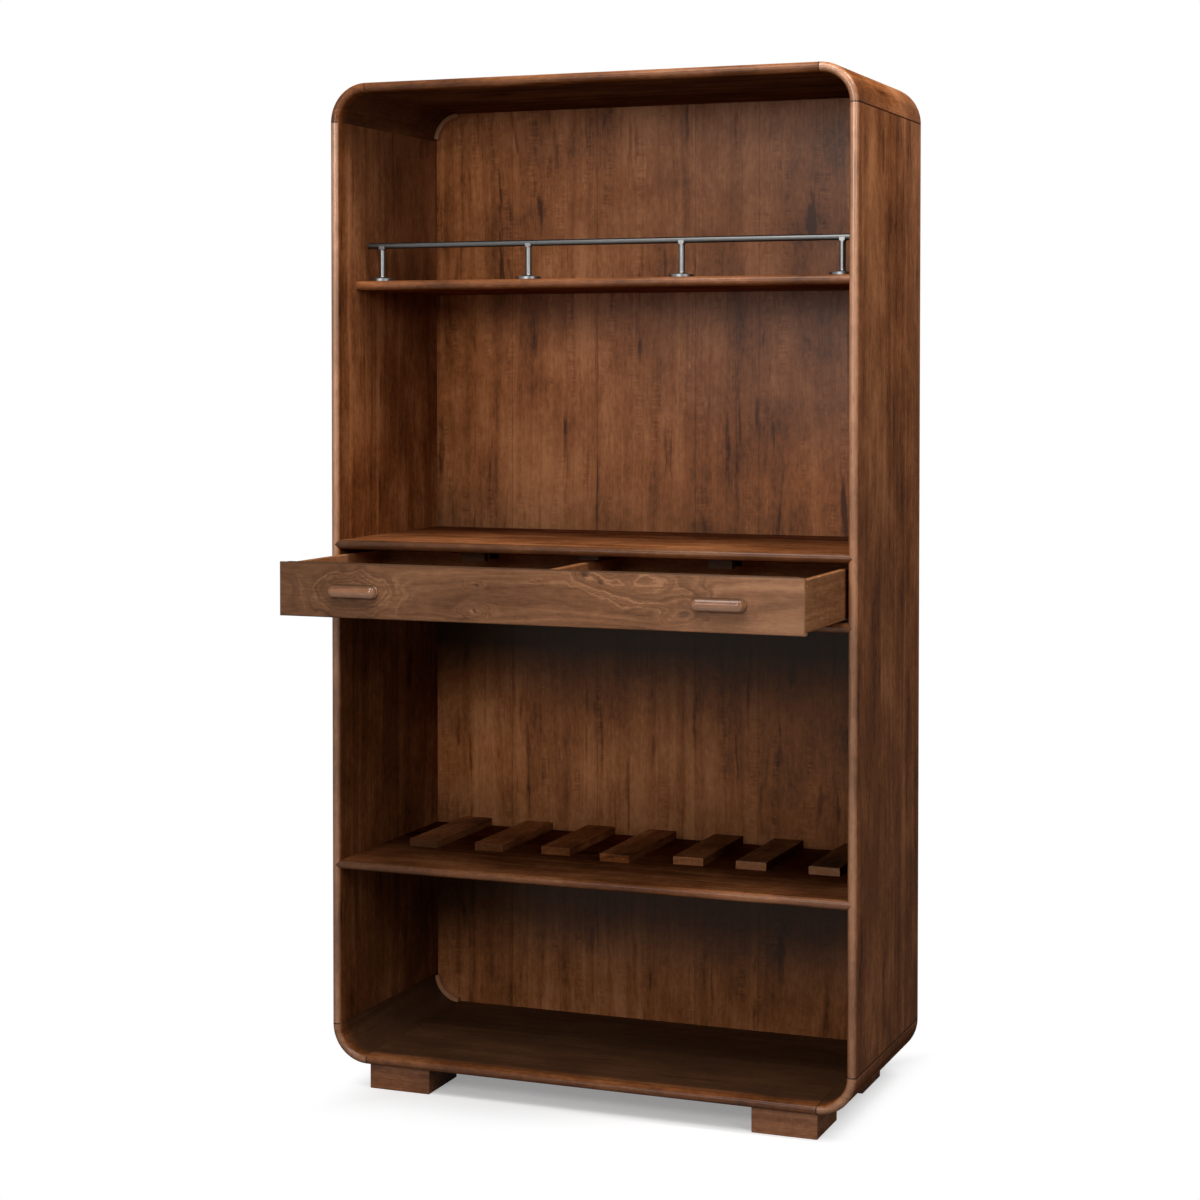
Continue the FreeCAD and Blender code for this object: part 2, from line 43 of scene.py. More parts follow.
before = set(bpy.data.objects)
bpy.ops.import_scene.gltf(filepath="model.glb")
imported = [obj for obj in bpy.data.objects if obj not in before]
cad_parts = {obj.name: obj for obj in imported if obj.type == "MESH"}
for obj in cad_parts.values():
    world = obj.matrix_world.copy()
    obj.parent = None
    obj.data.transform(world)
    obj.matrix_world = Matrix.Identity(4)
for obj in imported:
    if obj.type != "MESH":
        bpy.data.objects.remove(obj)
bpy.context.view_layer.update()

# Places read from the frame
side_low, side_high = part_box("side_panel_right")
corner_low, corner_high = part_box("corner_top_right")
back_low, back_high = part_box("back_panel")
board = side_high.x - side_low.x
nose = board / 2
half_width = side_high.x
front_y, rear_y = side_low.y, side_high.y
corner_radius = corner_high.x - corner_low.x
corner_x = corner_low.x
corner_top_z = corner_low.z
corner_bottom_z = side_low.z
back_thickness = back_high.y - back_low.y
carcass_top, carcass_bottom = corner_high.z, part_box("bottom_panel")[0].z
inside_half = half_width - board

ALONG_X, ALONG_Y, ALONG_Z = 0, 1, 2
merge_distance = 0.00001
flat_angle = math.radians(1)
sharp_angle = math.radians(40)
pull_sharp_angle = math.radians(50)


def between(pair, share):
    return pair[0] + (pair[1] - pair[0]) * share


def length(name, description, default):
    return FloatProperty(name=name, description=description, default=default, min=0, unit="LENGTH")


def colour(name, description, default):
    return FloatVectorProperty(name=name, description=description, default=default, size=3,
                               min=0, max=1, subtype="COLOR")


def power(name, default):
    return FloatProperty(name=name, description="Power of the " + name.lower(), default=default,
                         min=0, unit="POWER")


class CabinetSizes(bpy.types.PropertyGroup):
    """Small sizes of the finished pieces."""
    rebate: length("Rebate", "Width of the rebate that holds the back panel", 0.009)
    seam_ease: length("Seam ease", "Ease of the board ends at the corner seams", 0.0015)
    seam_line: length("Seam line", "Width of the dark line on each side of a seam", 0.0022)
    # Paler nose: partly rubbed edges, partly painted highlight
    pale_nose_width: length("Wear width", "Width of the paler wood behind a nose", 0.030)
    edge_ease: length("Edge ease", "Ease of the square wooden edges", 0.0006)
    # Painted shade along the drawer front's top edge
    top_shade_width: length("Top line", "Width of the darker top edge of the drawer front", 0.0012)
    batten_ease: length("Batten ease", "Round of the rack strips' top edges", 0.0015)
    cleat_ease: length("Cleat ease", "Round of the back cleats' edges", 0.003)
    metal_ease: length("Metal ease", "Ease of the rail's metal edges", 0.0004)
    rod_ease: length("Rod ease", "Round of the rail rod's ends", 0.0008)
    pull_rim: length("Pull rim", "Thickness of the pulls' straight foot", 0.003)
    pull_groove: length("Pull groove", "Radius of the finger groove round the pulls", 0.0025)
    slot_width: length("Recess width", "Width of the cross recess in a screw head", 0.0007)
    slot_depth: length("Recess depth", "Depth of the cross recess in a screw head", 0.0009)
    veneer_joints: FloatVectorProperty(name="Veneer joints", size=4, subtype="XYZ_LENGTH",
                                       description="Where the strips of the back meet, along x",
                                       default=(-0.342, -0.150, 0.066, 0.202))
    nose_steps: IntProperty(name="Nose steps", description="Faces round a nosing", default=16,
                            min=4)
    arc_steps: IntProperty(name="Arc steps", description="Faces along a corner piece", default=24,
                           min=4)


class CabinetColours(bpy.types.PropertyGroup):
    """Colours of the stained wood and the metal."""
    carcass_dark: colour("Carcass streak", "Dark streaks of the carcass", (0.046, 0.012, 0.003))
    carcass_mid: colour("Carcass wood", "Main colour of the carcass", (0.180, 0.057, 0.0165))
    carcass_light: colour("Carcass light", "Light grain of the carcass", (0.350, 0.134, 0.050))
    veneer_dark: colour("Veneer streak", "Dark streaks of the back", (0.078, 0.022, 0.006))
    veneer_mid: colour("Veneer wood", "Main colour of the back", (0.345, 0.116, 0.036))
    veneer_light: colour("Veneer light", "Light grain of the back", (0.560, 0.225, 0.088))
    # Pale colour of rubbed edges, also used for painted light on lit faces and painted highlights
    # on the noses
    worn_and_lit: colour("Worn wood", "Polished and worn edges", (0.460, 0.235, 0.130))
    # Painted shade: wood in the corners, under the boards and deep inside is blended towards this
    # colour where shade falls
    shaded: colour("Shaded wood", "Dull wood deep inside the cabinet", (0.042, 0.023, 0.013))
    front_dark: colour("Front streak", "Dark streaks of the drawer front", (0.060, 0.021, 0.008))
    front_mid: colour("Front wood", "Main colour of the drawer front", (0.200, 0.085, 0.038))
    front_light: colour("Front light", "Light grain of the drawer front", (0.350, 0.165, 0.078))
    pull_dark: colour("Pull streak", "Dark streaks of the pulls", (0.090, 0.032, 0.012))
    pull_mid: colour("Pull wood", "Main colour of the pulls", (0.210, 0.080, 0.030))
    pull_light: colour("Pull light", "Light grain of the pulls", (0.420, 0.195, 0.092))
    inner_dark: colour("Inner streak", "Dark streaks inside the drawer", (0.070, 0.026, 0.009))
    inner_mid: colour("Inner wood", "Main colour inside the drawer", (0.225, 0.091, 0.037))
    inner_light: colour("Inner light", "Light grain inside the drawer", (0.400, 0.185, 0.084))
    # The rod is painted darker and the posts lighter than the same steel: painted shade for the
    # rod's dark reflections, painted highlight on the posts
    rod: colour("Rod metal", "Colour of the rail's brushed rod", (0.095, 0.094, 0.092))
    post: colour("Post metal", "Colour of the rail's posts and flanges", (0.190, 0.190, 0.190))
    screw: colour("Screw metal", "Colour of the screws", (0.360, 0.350, 0.330))


class CabinetStage(bpy.types.PropertyGroup):
    """Camera, lamps and floor."""
    camera_place: FloatVectorProperty(name="Camera", description="Where the camera stands",
                                      default=(1.74447, -4.49853, 1.42131), subtype="TRANSLATION")
    camera_turn: FloatProperty(name="Turn", description="Turn of the camera to the left",
                               default=0.3766, subtype="ANGLE")
    camera_tilt: FloatProperty(name="Tilt", description="Tilt of the camera upwards",
                               default=-0.0268, subtype="ANGLE")
    lens: FloatProperty(name="Lens", description="Focal length", default=75.18)
    shift: FloatVectorProperty(name="Shift", description="Shift of the picture", size=2,
                               default=(0.0129, -0.1367))
    right_power: power("Right lamp", 23.0)
    front_power: power("Front lamp", 51.0)
    left_power: power("Left lamp", 18.0)
    top_power: power("Top lamp", 90.0)
    side_power: power("Side lamp", 41.0)
    world_level: FloatProperty(name="Surroundings", description="Light from all round",
                               default=0.05)
    floor_colour: colour("Floor", "Colour of the floor as the cabinet sees it",
                         (0.25, 0.25, 0.25))
    floor_glow: FloatProperty(name="Floor glow", description="Brightness of the floor in shadow",
                              default=0.27)
    shadow_reach: length("Shadow reach", "How far before the cabinet its shadow is seen", 0.22)
    shadow_inset: length("Shadow inset", "How far inside the cabinet's sides its shadow fades",
                         0.14)


def sizes():
    return bpy.context.scene.cabinet_sizes


def colours():
    return bpy.context.scene.cabinet_colours


# Node trees

def feed(node, values):
    """Sets or links a node's inputs by name or number."""
    for name, value in values.items():
        if isinstance(value, bpy.types.NodeSocket):
            node.id_data.links.new(value, node.inputs[name])
        else:
            node.inputs[name].default_value = value
    return node


def put(tree, kind, values=None, **settings):
    """Adds a node, sets its properties and feeds its inputs."""
    node = tree.nodes.new(kind)
    for name, value in settings.items():
        setattr(node, name, value)
    return feed(node, values or {})


def maths(operation, *values):
    """A sum, in the tree of those values that are sockets."""
    tree = next(v.id_data for v in values if isinstance(v, bpy.types.NodeSocket))
    return put(tree, "ShaderNodeMath", dict(enumerate(values)), operation=operation).outputs[0]


def vector_maths(operation, *vectors, result="Vector"):
    return put(vectors[0].id_data, "ShaderNodeVectorMath", dict(enumerate(vectors)),
               operation=operation).outputs[result]


def stretched(vector, scale):
    return vector_maths("MULTIPLY", vector, scale)


def noise(vector, detail, roughness=0.5, scale=1.0, result=0):
    """Cloudy values or vectors, from 0 to 1, over a stretched vector."""
    return put(vector.id_data, "ShaderNodeTexNoise",
               {"Vector": vector, "Scale": scale, "Detail": detail,
                "Roughness": roughness}).outputs[result]


def centred_noise(vector, detail, scale=1.0):
    """Cloudy vectors round zero."""
    return vector_maths("SUBTRACT", noise(vector, detail, scale=scale, result="Color"),
                        (0.5, 0.5, 0.5))


def steps_between(value, low, high, first=0.0, last=1.0, kind="SMOOTHSTEP"):
    """The first number below low, the last above high, and smooth between them."""
    return put(value.id_data, "ShaderNodeMapRange",
               {"Value": value, "From Min": low, "From Max": high, "To Min": first,
                "To Max": last}, interpolation_type=kind).outputs[0]


def ramp(factor, stops):
    node = put(factor.id_data, "ShaderNodeValToRGB", {0: factor})
    band = node.color_ramp
    while len(band.elements) < len(stops):
        band.elements.new(1.0)
    for element, (place, shade) in zip(band.elements, stops):
        element.position = place
        element.color = (*shade, 1.0)
    return node.outputs[0]


def blended(factor, first, second):
    return put(factor.id_data, "ShaderNodeMix", {0: factor, 6: first, 7: second},
               data_type="RGBA").outputs[2]


def bumped(height, strength, distance):
    return put(height.id_data, "ShaderNodeBump",
               {"Height": height, "Strength": strength, "Distance": distance}).outputs[0]


def new_tree(name, kind, inputs, outputs):
    """An empty group with its named sockets, with what it is given and the node that ends it."""
    tree = bpy.data.node_groups.new(name, kind)
    for way, sockets in (("INPUT", inputs), ("OUTPUT", outputs)):
        for label, socket in sockets:
            tree.interface.new_socket(name=label, in_out=way, socket_type="NodeSocket" + socket)
    return tree, put(tree, "NodeGroupInput").outputs, put(tree, "NodeGroupOutput")


def attribute(tree, name, result="Fac"):
    return put(tree, "ShaderNodeAttribute", attribute_name=name).outputs[result]


def object_place(tree):
    return put(tree, "ShaderNodeTexCoord").outputs["Object"]


# What makes up the grain, in the order in which each wood says how much of it there is
grain_parts = ("Streaks", "Rings", "Fibres", "Mottle", "Clouds", "Marks", "Ripple")

# Noise along the growth rings: waves per metre along the log, outwards and round it, then detail
# and roughness
ring_noise = {"Streaks": (1.2, 48.0, 5.0, 4.0, 0.55), "Rings": (0.8, 330.0, 8.0, 2.0, 0.5),
              "Marks": (6.0, 70.0, 12.0, 2.0, 0.5)}

# Noise through the wood: waves per metre along and across the log, then detail and roughness
plain_noise = {"Drift": (1.1, 4.0, 2.0, 0.5), "Wobble": (9.0, 22.0, 2.0, 0.5),
               "Fibres": (26.0, 360.0, 3.0, 0.6), "Mottle": (60.0, 120.0, 3.0, 0.65),
               "Clouds": (6.0, 9.0, 3.0, 0.55), "Patches": (5.0, 42.0, 1.0, 0.5),
               "Ripple": (210.0, 30.0, 1.0, 0.5), "Pores": (60.0, 800.0, 1.0, 0.5)}

# Levels of the noise between which a feature appears
mark_levels, patch_levels, pore_levels = (0.60, 0.74), (0.56, 0.66), (0.60, 0.72)

log_bend = 0.05
ring_wobble = 0.007
pore_depth = 0.7


def wood_grain_group():
    """Tone and relief of planed wood. The vector's x runs along the grain and its other two lie
    across, from the log's middle, in metres. Push widens the growth rings round a knot."""
    name = "Wood grain"
    if name in bpy.data.node_groups:
        return bpy.data.node_groups[name]
    inputs = [("Vector", "Vector"), ("Push", "Float")] + [(part, "Float") for part in grain_parts]
    tree, given, end = new_tree(name, "ShaderNodeTree", inputs,
                                [("Tone", "Float"), ("Pores", "Float"), ("Height", "Float")])

    def scaled(vector, part):
        along, across = plain_noise[part][:2]
        return stretched(vector, (along, across, across))

    drift = centred_noise(scaled(given["Vector"], "Drift"), plain_noise["Drift"][2])
    bent = vector_maths("ADD", stretched(drift, (0.0, log_bend, log_bend)), given["Vector"])
    wobble = noise(scaled(given["Vector"], "Wobble"), *plain_noise["Wobble"][2:])
    x, y, z = put(tree, "ShaderNodeSeparateXYZ", {0: bent}).outputs
    outward = vector_maths("LENGTH", stretched(bent, (0.0, 1.0, 1.0)), result="Value")
    outward = maths("ADD", maths("MULTIPLY_ADD", wobble, ring_wobble, outward), given["Push"])
    parts = {}
    for part, (*scales, detail, roughness) in ring_noise.items():
        place = [maths("MULTIPLY", value, scale)
                 for value, scale in zip((x, outward, maths("ADD", y, z)), scales)]
        place = put(tree, "ShaderNodeCombineXYZ", dict(enumerate(place))).outputs[0]
        parts[part] = noise(place, detail, roughness)
    for part in ("Fibres", "Mottle", "Clouds", "Patches", "Ripple", "Pores"):
        parts[part] = noise(scaled(bent, part), *plain_noise[part][2:])
    marks = steps_between(parts["Marks"], *mark_levels)
    ripple = maths("MULTIPLY", maths("SUBTRACT", parts["Ripple"], 0.5),
                   steps_between(parts["Patches"], *patch_levels))
    tone = maths("MULTIPLY_ADD", marks, maths("MULTIPLY", given["Marks"], -1.0), 0.5)
    tone = maths("MULTIPLY_ADD", ripple, given["Ripple"], tone)
    for part in ("Streaks", "Rings", "Fibres", "Mottle", "Clouds"):
        tone = maths("MULTIPLY_ADD", maths("SUBTRACT", parts[part], 0.5), given[part], tone)
    pores = steps_between(parts["Pores"], *pore_levels)
    height = maths("MULTIPLY_ADD", pores, -pore_depth, parts["Fibres"])
    feed(end, {"Tone": tone, "Pores": pores, "Height": height})
    return tree


# Tones between which the paling of rubbed edges and painted light goes from half to full
paling_levels = (0.2, 0.8)


def wear_and_light_group():
    """Colour of wood that is paler where its given value is above 0, for rubbed edges and painted
    light, darker where it is below 0, for painted shade, and dark at its seams. Its second output
    says how far it is paled."""
    name = "Wear and seams"
    if name in bpy.data.node_groups:
        return bpy.data.node_groups[name]
    tree, given, end = new_tree(
        name, "ShaderNodeTree",
        [("Colour", "Color"), ("Polished", "Color"), ("Dull", "Color"), ("Deep", "Color"),
         ("Tone", "Float"), ("Wear", "Float"), ("Seam", "Float")],
        [("Colour", "Color"), ("Worn", "Float")])
    patchy = maths("MULTIPLY_ADD", steps_between(given["Tone"], *paling_levels), 0.5, 0.5)
    worn_and_lit = maths("MULTIPLY", maths("MAXIMUM", given["Wear"], 0.0), patchy)
    unlit = maths("MAXIMUM", maths("MULTIPLY", given["Wear"], -1.0), 0.0)
    shade = blended(worn_and_lit, given["Colour"], given["Polished"])
    shade = blended(unlit, shade, given["Dull"])
    shade = blended(given["Seam"], shade, given["Deep"])
    feed(end, {"Colour": shade, "Worn": worn_and_lit})
    return tree


def new_material(name):
    material = bpy.data.materials.new(name)
    material.use_nodes = True
    tree = material.node_tree
    return material, tree, tree.nodes["Principled BSDF"]


# Knots of the drawer front: x, z, radius, and radius of the dark heart
front_knots = ((-0.365, 1.006, 0.062, 0.0), (-0.114, 1.030, 0.014, 0.003),
               (-0.110, 0.984, 0.022, 0.003), (0.018, 1.043, 0.012, 0.004),
               (0.108, 1.054, 0.024, 0.007), (0.136, 1.043, 0.030, 0.008),
               (0.225, 1.035, 0.056, 0.0), (0.292, 0.988, 0.026, 0.009),
               (0.312, 1.024, 0.022, 0.0))
knot_bends, knot_bend_detail = 34.0, 2.0
knot_bend = (0.045, 0.0, 0.018)
knot_length_share = 0.40
knot_push_share = 0.60
heart_core_share = 0.3
flecks_per_push = 90.0
fleck_levels = (0.53, 0.66)


def knot_fields(tree, knots):
    """Push of the growth rings round knots, and the knots' dark hearts."""
    place = object_place(tree)
    bend = centred_noise(place, knot_bend_detail, knot_bends)
    place = stretched(vector_maths("ADD", stretched(bend, knot_bend), place), (1.0, 0.0, 1.0))
    push, hearts = 0.0, 0.0
    for x, z, radius, heart in knots:
        apart = stretched(vector_maths("SUBTRACT", place, (x, 0.0, z)),
                          (knot_length_share, 1.0, 1.0))
        apart = vector_maths("LENGTH", apart, result="Value")
        push = maths("ADD", push, steps_between(apart, 0.0, radius, knot_push_share * radius, 0.0,
                                                "SMOOTHERSTEP"))
        hearts = maths("MAXIMUM", hearts,
                       steps_between(apart, heart_core_share * heart, heart, 1.0, 0.0))
    return push, hearts


# How much each strip of the back's veneer is paler than the one at its left
strip_changes = (0.08, -0.02, -0.07, -0.07)
joint_half_width = 0.0007


def veneer_strips(tree, joints):
    """Strips of veneer that meet at places along x: 1 on their joints, and their own tones."""
    x = put(tree, "ShaderNodeSeparateXYZ", {0: object_place(tree)}).outputs[0]
    lines, tones = 0.0, 0.0
    for joint, change in zip(joints, strip_changes):
        lines = maths("ADD", lines, maths("COMPARE", x, joint, joint_half_width))
        tones = maths("MULTIPLY_ADD", maths("GREATER_THAN", x, joint), change, tones)
    return lines, tones


# Tones at which the dark, the middle and the light colour of a wood lie
shade_tones = (0.10, 0.50, 0.85)
pore_darkness = 0.25
joint_darkness = 0.45
fleck_paleness = 0.75
heart_darkness = 0.7
seam_levels = (0.1, 0.7)
worn_polish = 0.7
tone_gloss, pore_roughness = 0.12, 0.2
relief_strength, relief_depth = 0.2, 0.0003


def wood(name, shades, amounts, roughness, coat, gloss=0.17, knots=(), joints=()):
    """Stained wood under a clear coat. shades are its dark, middle and light colours, and amounts
    follow the parts of the grain."""
    if name in bpy.data.materials:
        return bpy.data.materials[name]
    material, tree, shader = new_material(name)
    push, hearts = knot_fields(tree, knots) if knots else (0.0, 0.0)
    given = dict(zip(grain_parts, amounts), Vector=attribute(tree, "grain", "Vector"), Push=push)
    grain = put(tree, "ShaderNodeGroup", given, node_tree=wood_grain_group()).outputs
    deep = (*[channel / 2 for channel in shades[0]], 1.0)
    tone = grain["Tone"]
    seam = steps_between(attribute(tree, "seam"), *seam_levels)
    if joints:
        lines, tones = veneer_strips(tree, joints)
        seam = maths("MULTIPLY_ADD", lines, joint_darkness, seam)
        tone = maths("ADD", tone, tones)
    base = ramp(tone, list(zip(shade_tones, shades)))
    base = blended(maths("MULTIPLY", grain["Pores"], pore_darkness), base, deep)
    if knots:
        near = maths("MINIMUM", maths("MULTIPLY", push, flecks_per_push), 1.0)
        flecks = maths("MULTIPLY", near, steps_between(tone, *fleck_levels))
        base = blended(maths("MULTIPLY", flecks, fleck_paleness), base, (*shades[2], 1.0))
        base = blended(maths("MULTIPLY", hearts, heart_darkness), base, deep)
    # Pales the wood where the stored value is above 0, for rubbed noses and painted light, and
    # darkens it below 0, for painted shade
    surface = put(tree, "ShaderNodeGroup",
                  {"Colour": base, "Polished": (*colours().worn_and_lit, 1.0),
                   "Dull": (*colours().shaded, 1.0), "Deep": deep, "Tone": tone,
                   "Wear": attribute(tree, "wear"), "Seam": seam},
                  node_tree=wear_and_light_group()).outputs
    rough = maths("MULTIPLY_ADD", grain["Tone"], -tone_gloss, roughness + tone_gloss / 2)
    rough = maths("MULTIPLY_ADD", grain["Pores"], pore_roughness, rough)
    facing = put(tree, "ShaderNodeLayerWeight", {"Blend": 0.5}).outputs["Facing"]
    open_angle = maths("POWER", maths("SUBTRACT", 1.0, facing), 2.0)
    polish = maths("MULTIPLY_ADD", surface["Worn"], worn_polish, coat)
    feed(shader, {"Base Color": surface["Colour"], "Roughness": rough,
                  "Coat Weight": maths("MULTIPLY", open_angle, polish), "Coat Roughness": gloss,
                  "Specular IOR Level": 0.0,
                  "Normal": bumped(grain["Height"], relief_strength, relief_depth)})
    return material


def shades_of(name):
    return [getattr(colours(), f"{name}_{shade}") for shade in ("dark", "mid", "light")]


def carcass_wood():
    return wood("Stained carcass wood", shades_of("carcass"),
                (0.85, 0.30, 0.35, 0.50, 1.05, 0.22, 0.20), roughness=0.42, coat=0.4)


def veneer():
    return wood("Stained back veneer", shades_of("veneer"),
                (0.75, 0.20, 0.30, 0.55, 1.10, 0.28, 0.50), roughness=0.46, coat=0.25,
                gloss=0.30, joints=sizes().veneer_joints)


def front_wood():
    return wood("Stained drawer front wood", shades_of("front"),
                (0.55, 0.75, 0.35, 0.30, 0.50, 0.08, 0.10), roughness=0.45, coat=0.25,
                knots=front_knots)


def pull_wood():
    return wood("Pull wood", shades_of("pull"), (0.5, 0.3, 0.5, 0.3, 0.3, 0.1, 0.0),
                roughness=0.35, coat=0.9, gloss=0.14)


def cleat_wood():
    shades = (colours().pull_mid, colours().pull_light, colours().worn_and_lit)
    return wood("Cleat wood", shades, (0.6, 0.3, 0.4, 0.4, 0.5, 0.1, 0.0), roughness=0.42,
                coat=0.9, gloss=0.14)


def inner_wood():
    return wood("Drawer box wood", shades_of("inner"), (0.5, 0.4, 0.4, 0.4, 0.5, 0.1, 0.2),
                roughness=0.55, coat=0.1)


brush_levels = (0.3, 0.7)
brush_shade_share = 0.72
metal_roughness, brush_roughness, smudge_roughness = 0.20, 0.14, 0.12
brush_detail, brush_noise_roughness = 3.0, 0.6
smudges_per_metre, smudge_detail = 22.0, 3.0
brush_strength, brush_depth = 0.12, 0.0001


def brushed_metal(name, shade, lines):
    """Metal with fine brush lines. lines are their numbers per metre along x, y and z."""
    if name in bpy.data.materials:
        return bpy.data.materials[name]
    material, tree, shader = new_material(name)
    place = object_place(tree)
    brush = noise(stretched(place, lines), brush_detail, brush_noise_roughness)
    smudges = noise(stretched(place, [smudges_per_metre] * 3), smudge_detail)
    dull = [channel * brush_shade_share for channel in shade]
    rough = maths("MULTIPLY_ADD", brush, brush_roughness, metal_roughness)
    feed(shader, {"Base Color": ramp(brush, list(zip(brush_levels, (dull, shade)))),
                  "Roughness": maths("MULTIPLY_ADD", smudges, smudge_roughness, rough),
                  "Metallic": 1.0, "Normal": bumped(brush, brush_strength, brush_depth)})
    return material


# Rod steel painted darker and post steel painted lighter, as painted shade and painted highlight
def rod_metal():
    return brushed_metal("Brushed rod steel", colours().rod, (60.0, 1800.0, 1800.0))


def post_metal():
    return brushed_metal("Brushed post steel", colours().post, (1800.0, 1800.0, 60.0))


def screw_metal():
    return brushed_metal("Screw steel", colours().screw, (900.0, 900.0, 900.0))


# Meshes

def nodes_named(*starts):
    return sorted(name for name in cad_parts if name.startswith(starts))


def new_object(name, mesh):
    piece = bpy.data.objects.new(name, mesh)
    bpy.context.scene.collection.objects.link(piece)
    return piece


def shade_smooth(mesh):
    mesh.polygons.foreach_set("use_smooth", [True] * len(mesh.polygons))
    mesh.update()


def evaluated_mesh(source):
    """What the object's modifiers make, as a plain mesh."""
    graph = bpy.context.evaluated_depsgraph_get()
    return bpy.data.meshes.new_from_object(source.evaluated_get(graph), depsgraph=graph)


@contextmanager
def edited(mesh, *sources):
    """Opens a mesh, or for a new one its sources, and puts into it what is then made of them."""
    work = bmesh.new()
    for source in sources or (mesh,):
        work.from_mesh(source)
    yield work
    work.to_mesh(mesh)
    work.free()


def outwards(mesh):
    """Merges what coincides and turns every face outwards."""
    with edited(mesh) as work:
        bmesh.ops.remove_doubles(work, verts=work.verts, dist=merge_distance)
        bmesh.ops.recalc_face_normals(work, faces=work.faces)


def ease(piece, width, segments=2, angle=sharp_angle):
    """Rounds the sharp edges of a piece and keeps its flats flat."""
    bevel = piece.modifiers.new("Eased edges", "BEVEL")
    bevel.width = width
    bevel.segments = segments
    bevel.limit_method = "ANGLE"
    bevel.angle_limit = angle
    bevel.miter_outer = "MITER_ARC"
    normals = piece.modifiers.new("Flat faces", "WEIGHTED_NORMAL")
    normals.weight = 100
    return piece


# Where a board lies in its log: share of its width at which the log's heart is, the heart's depth
# below it, and the length of a log
heart_shares = (0.2, 0.8)
heart_depths = (0.06, 0.14)
log_length = 3.1


def grain_along(piece, axis, seed):
    """Stores each point's place in its own log: x along the grain, y and z from the log's middle,
    which lies beyond the piece's thin side."""
    mesh = piece.data
    along, wide, thin = {ALONG_X: (0, 1, 2), ALONG_Y: (1, 0, 2), ALONG_Z: (2, 0, 1)}[axis]
    low = [min(v.co[i] for v in mesh.vertices) for i in range(3)]
    high = [max(v.co[i] for v in mesh.vertices) for i in range(3)]
    if high[wide] - low[wide] < high[thin] - low[thin]:
        wide, thin = thin, wide
    random = Random(seed)
    middle = between((low[wide], high[wide]), random.uniform(*heart_shares))
    below = (low[thin] + high[thin]) / 2 - random.uniform(*heart_depths)
    values = []
    for vertex in mesh.vertices:
        place = vertex.co
        values += [place[along] + seed * log_length, place[wide] - middle, place[thin] - below]
    mesh.attributes.new("grain", "FLOAT_VECTOR", "POINT").data.foreach_set("vector", values)


def store(piece, name, value_at):
    """Keeps a number for each point of a piece, found from its place."""
    values = [value_at(vertex.co) for vertex in piece.data.vertices]
    piece.data.attributes.new(name, "FLOAT", "POINT").data.foreach_set("value", values)


# Depth past which a place on a board is on its inner face, how eased the seams are there, how fast
# the pale nose, partly rubbed and partly painted highlight, fades inwards and outwards, and where
# it ends
inner_depth_share = 0.9
inner_ease_share = 0.15
inward_fade, outward_fade, faded = 1.5, 1.2, -0.2


def below_outline(place):
    """Depth of a place below the cabinet's round-cornered outline, seen from the front."""
    across = abs(place.x) - corner_x
    beyond = max(place.z - corner_top_z, corner_bottom_z - place.z)
    if across > 0 and beyond > 0:
        return corner_radius - math.hypot(across, beyond)
    return min(half_width - abs(place.x), carcass_top - place.z, place.z - carcass_bottom)


def is_inside(place):
    """Whether a place on a carcass board is on its inner face."""
    return below_outline(place) > inner_depth_share * board


def mark_seams(piece, inside, outside):
    """Darkens the points that lie at the seams between the boards and the corner pieces."""
    def seam_at(place):
        apart = min(abs(abs(place.x) - corner_x), abs(place.z - corner_top_z),
                    abs(place.z - corner_bottom_z))
        if apart > sizes().seam_line / 2:
            return 0.0
        return inside if is_inside(place) else outside

    store(piece, "seam", seam_at)


def mark_wear_and_light(piece, at_nose, inside, outside):
    """Paints a board's nose paler, partly rubbed and partly painted highlight, and paints light
    and shade on its inner and outer face, changing up the cabinet.
    """
    def wear_and_light_at(place):
        behind = place.y - front_y
        height = (place.z - carcass_bottom) / (carcass_top - carcass_bottom)
        if behind < nose + merge_distance:
            fade = inward_fade if below_outline(place) > nose else outward_fade
            return between(at_nose, height) * max(1.0 - fade * behind / nose, faded)
        return between(inside if is_inside(place) else outside, height)

    store(piece, "wear", wear_and_light_at)


def cut_across(piece, axis, places):
    """Gives a piece edges where its surface crosses the places along an axis."""
    normal = [float(i == axis) for i in range(3)]
    with edited(piece.data) as work:
        for place in places:
            bmesh.ops.bisect_plane(work, geom=work.verts[:] + work.edges[:] + work.faces[:],
                                   plane_co=[place * n for n in normal], plane_no=normal)


def from_left(place):
    """Share of the way from the cabinet's left to its right."""
    return 0.5 + place.x / (2 * inside_half)


def ease_seams(piece, width):
    """Rounds the sharp edges of a carcass board, but its seams inside the cabinet very little."""
    with edited(piece.data) as work:
        weights = work.edges.layers.float.new("bevel_weight_edge")
        for edge in work.edges:
            if edge.calc_face_angle(0.0) > sharp_angle:
                hidden = all(is_inside(vertex.co) for vertex in edge.verts)
                edge[weights] = inner_ease_share if hidden else 1.0
    ease(piece, width)
    piece.modifiers[0].limit_method = "WEIGHT"


def dress(piece, material, body, slot, *nodes):
    """Gives a finished piece its material and body, and hides the nodes it stands for. Its slot is
    not used.
    """
    piece.data.materials.clear()
    piece.data.materials.append(material)
    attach(piece, body)
    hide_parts(*nodes)
    return piece


def outline_curve(name, points, closed):
    """A curve of straight runs through the points."""
    data = bpy.data.curves.new(name, "CURVE")
    data.dimensions = "3D"
    spline = data.splines.new("POLY")
    spline.points.add(len(points) - 1)
    for spot, place in zip(spline.points, points):
        spot.co = (*place, 1.0)
    spline.use_cyclic_u = closed
    return new_object(name, data)


def finish(end, label, geometry, material):
    """Ends a geometry tree with real geometry that has its material."""
    tree = end.id_data
    real = put(tree, "GeometryNodeRealizeInstances", {0: geometry})
    feed(end, {label: put(tree, "GeometryNodeSetMaterial", {
        "Geometry": real.outputs[0], "Material": material}).outputs[0]})


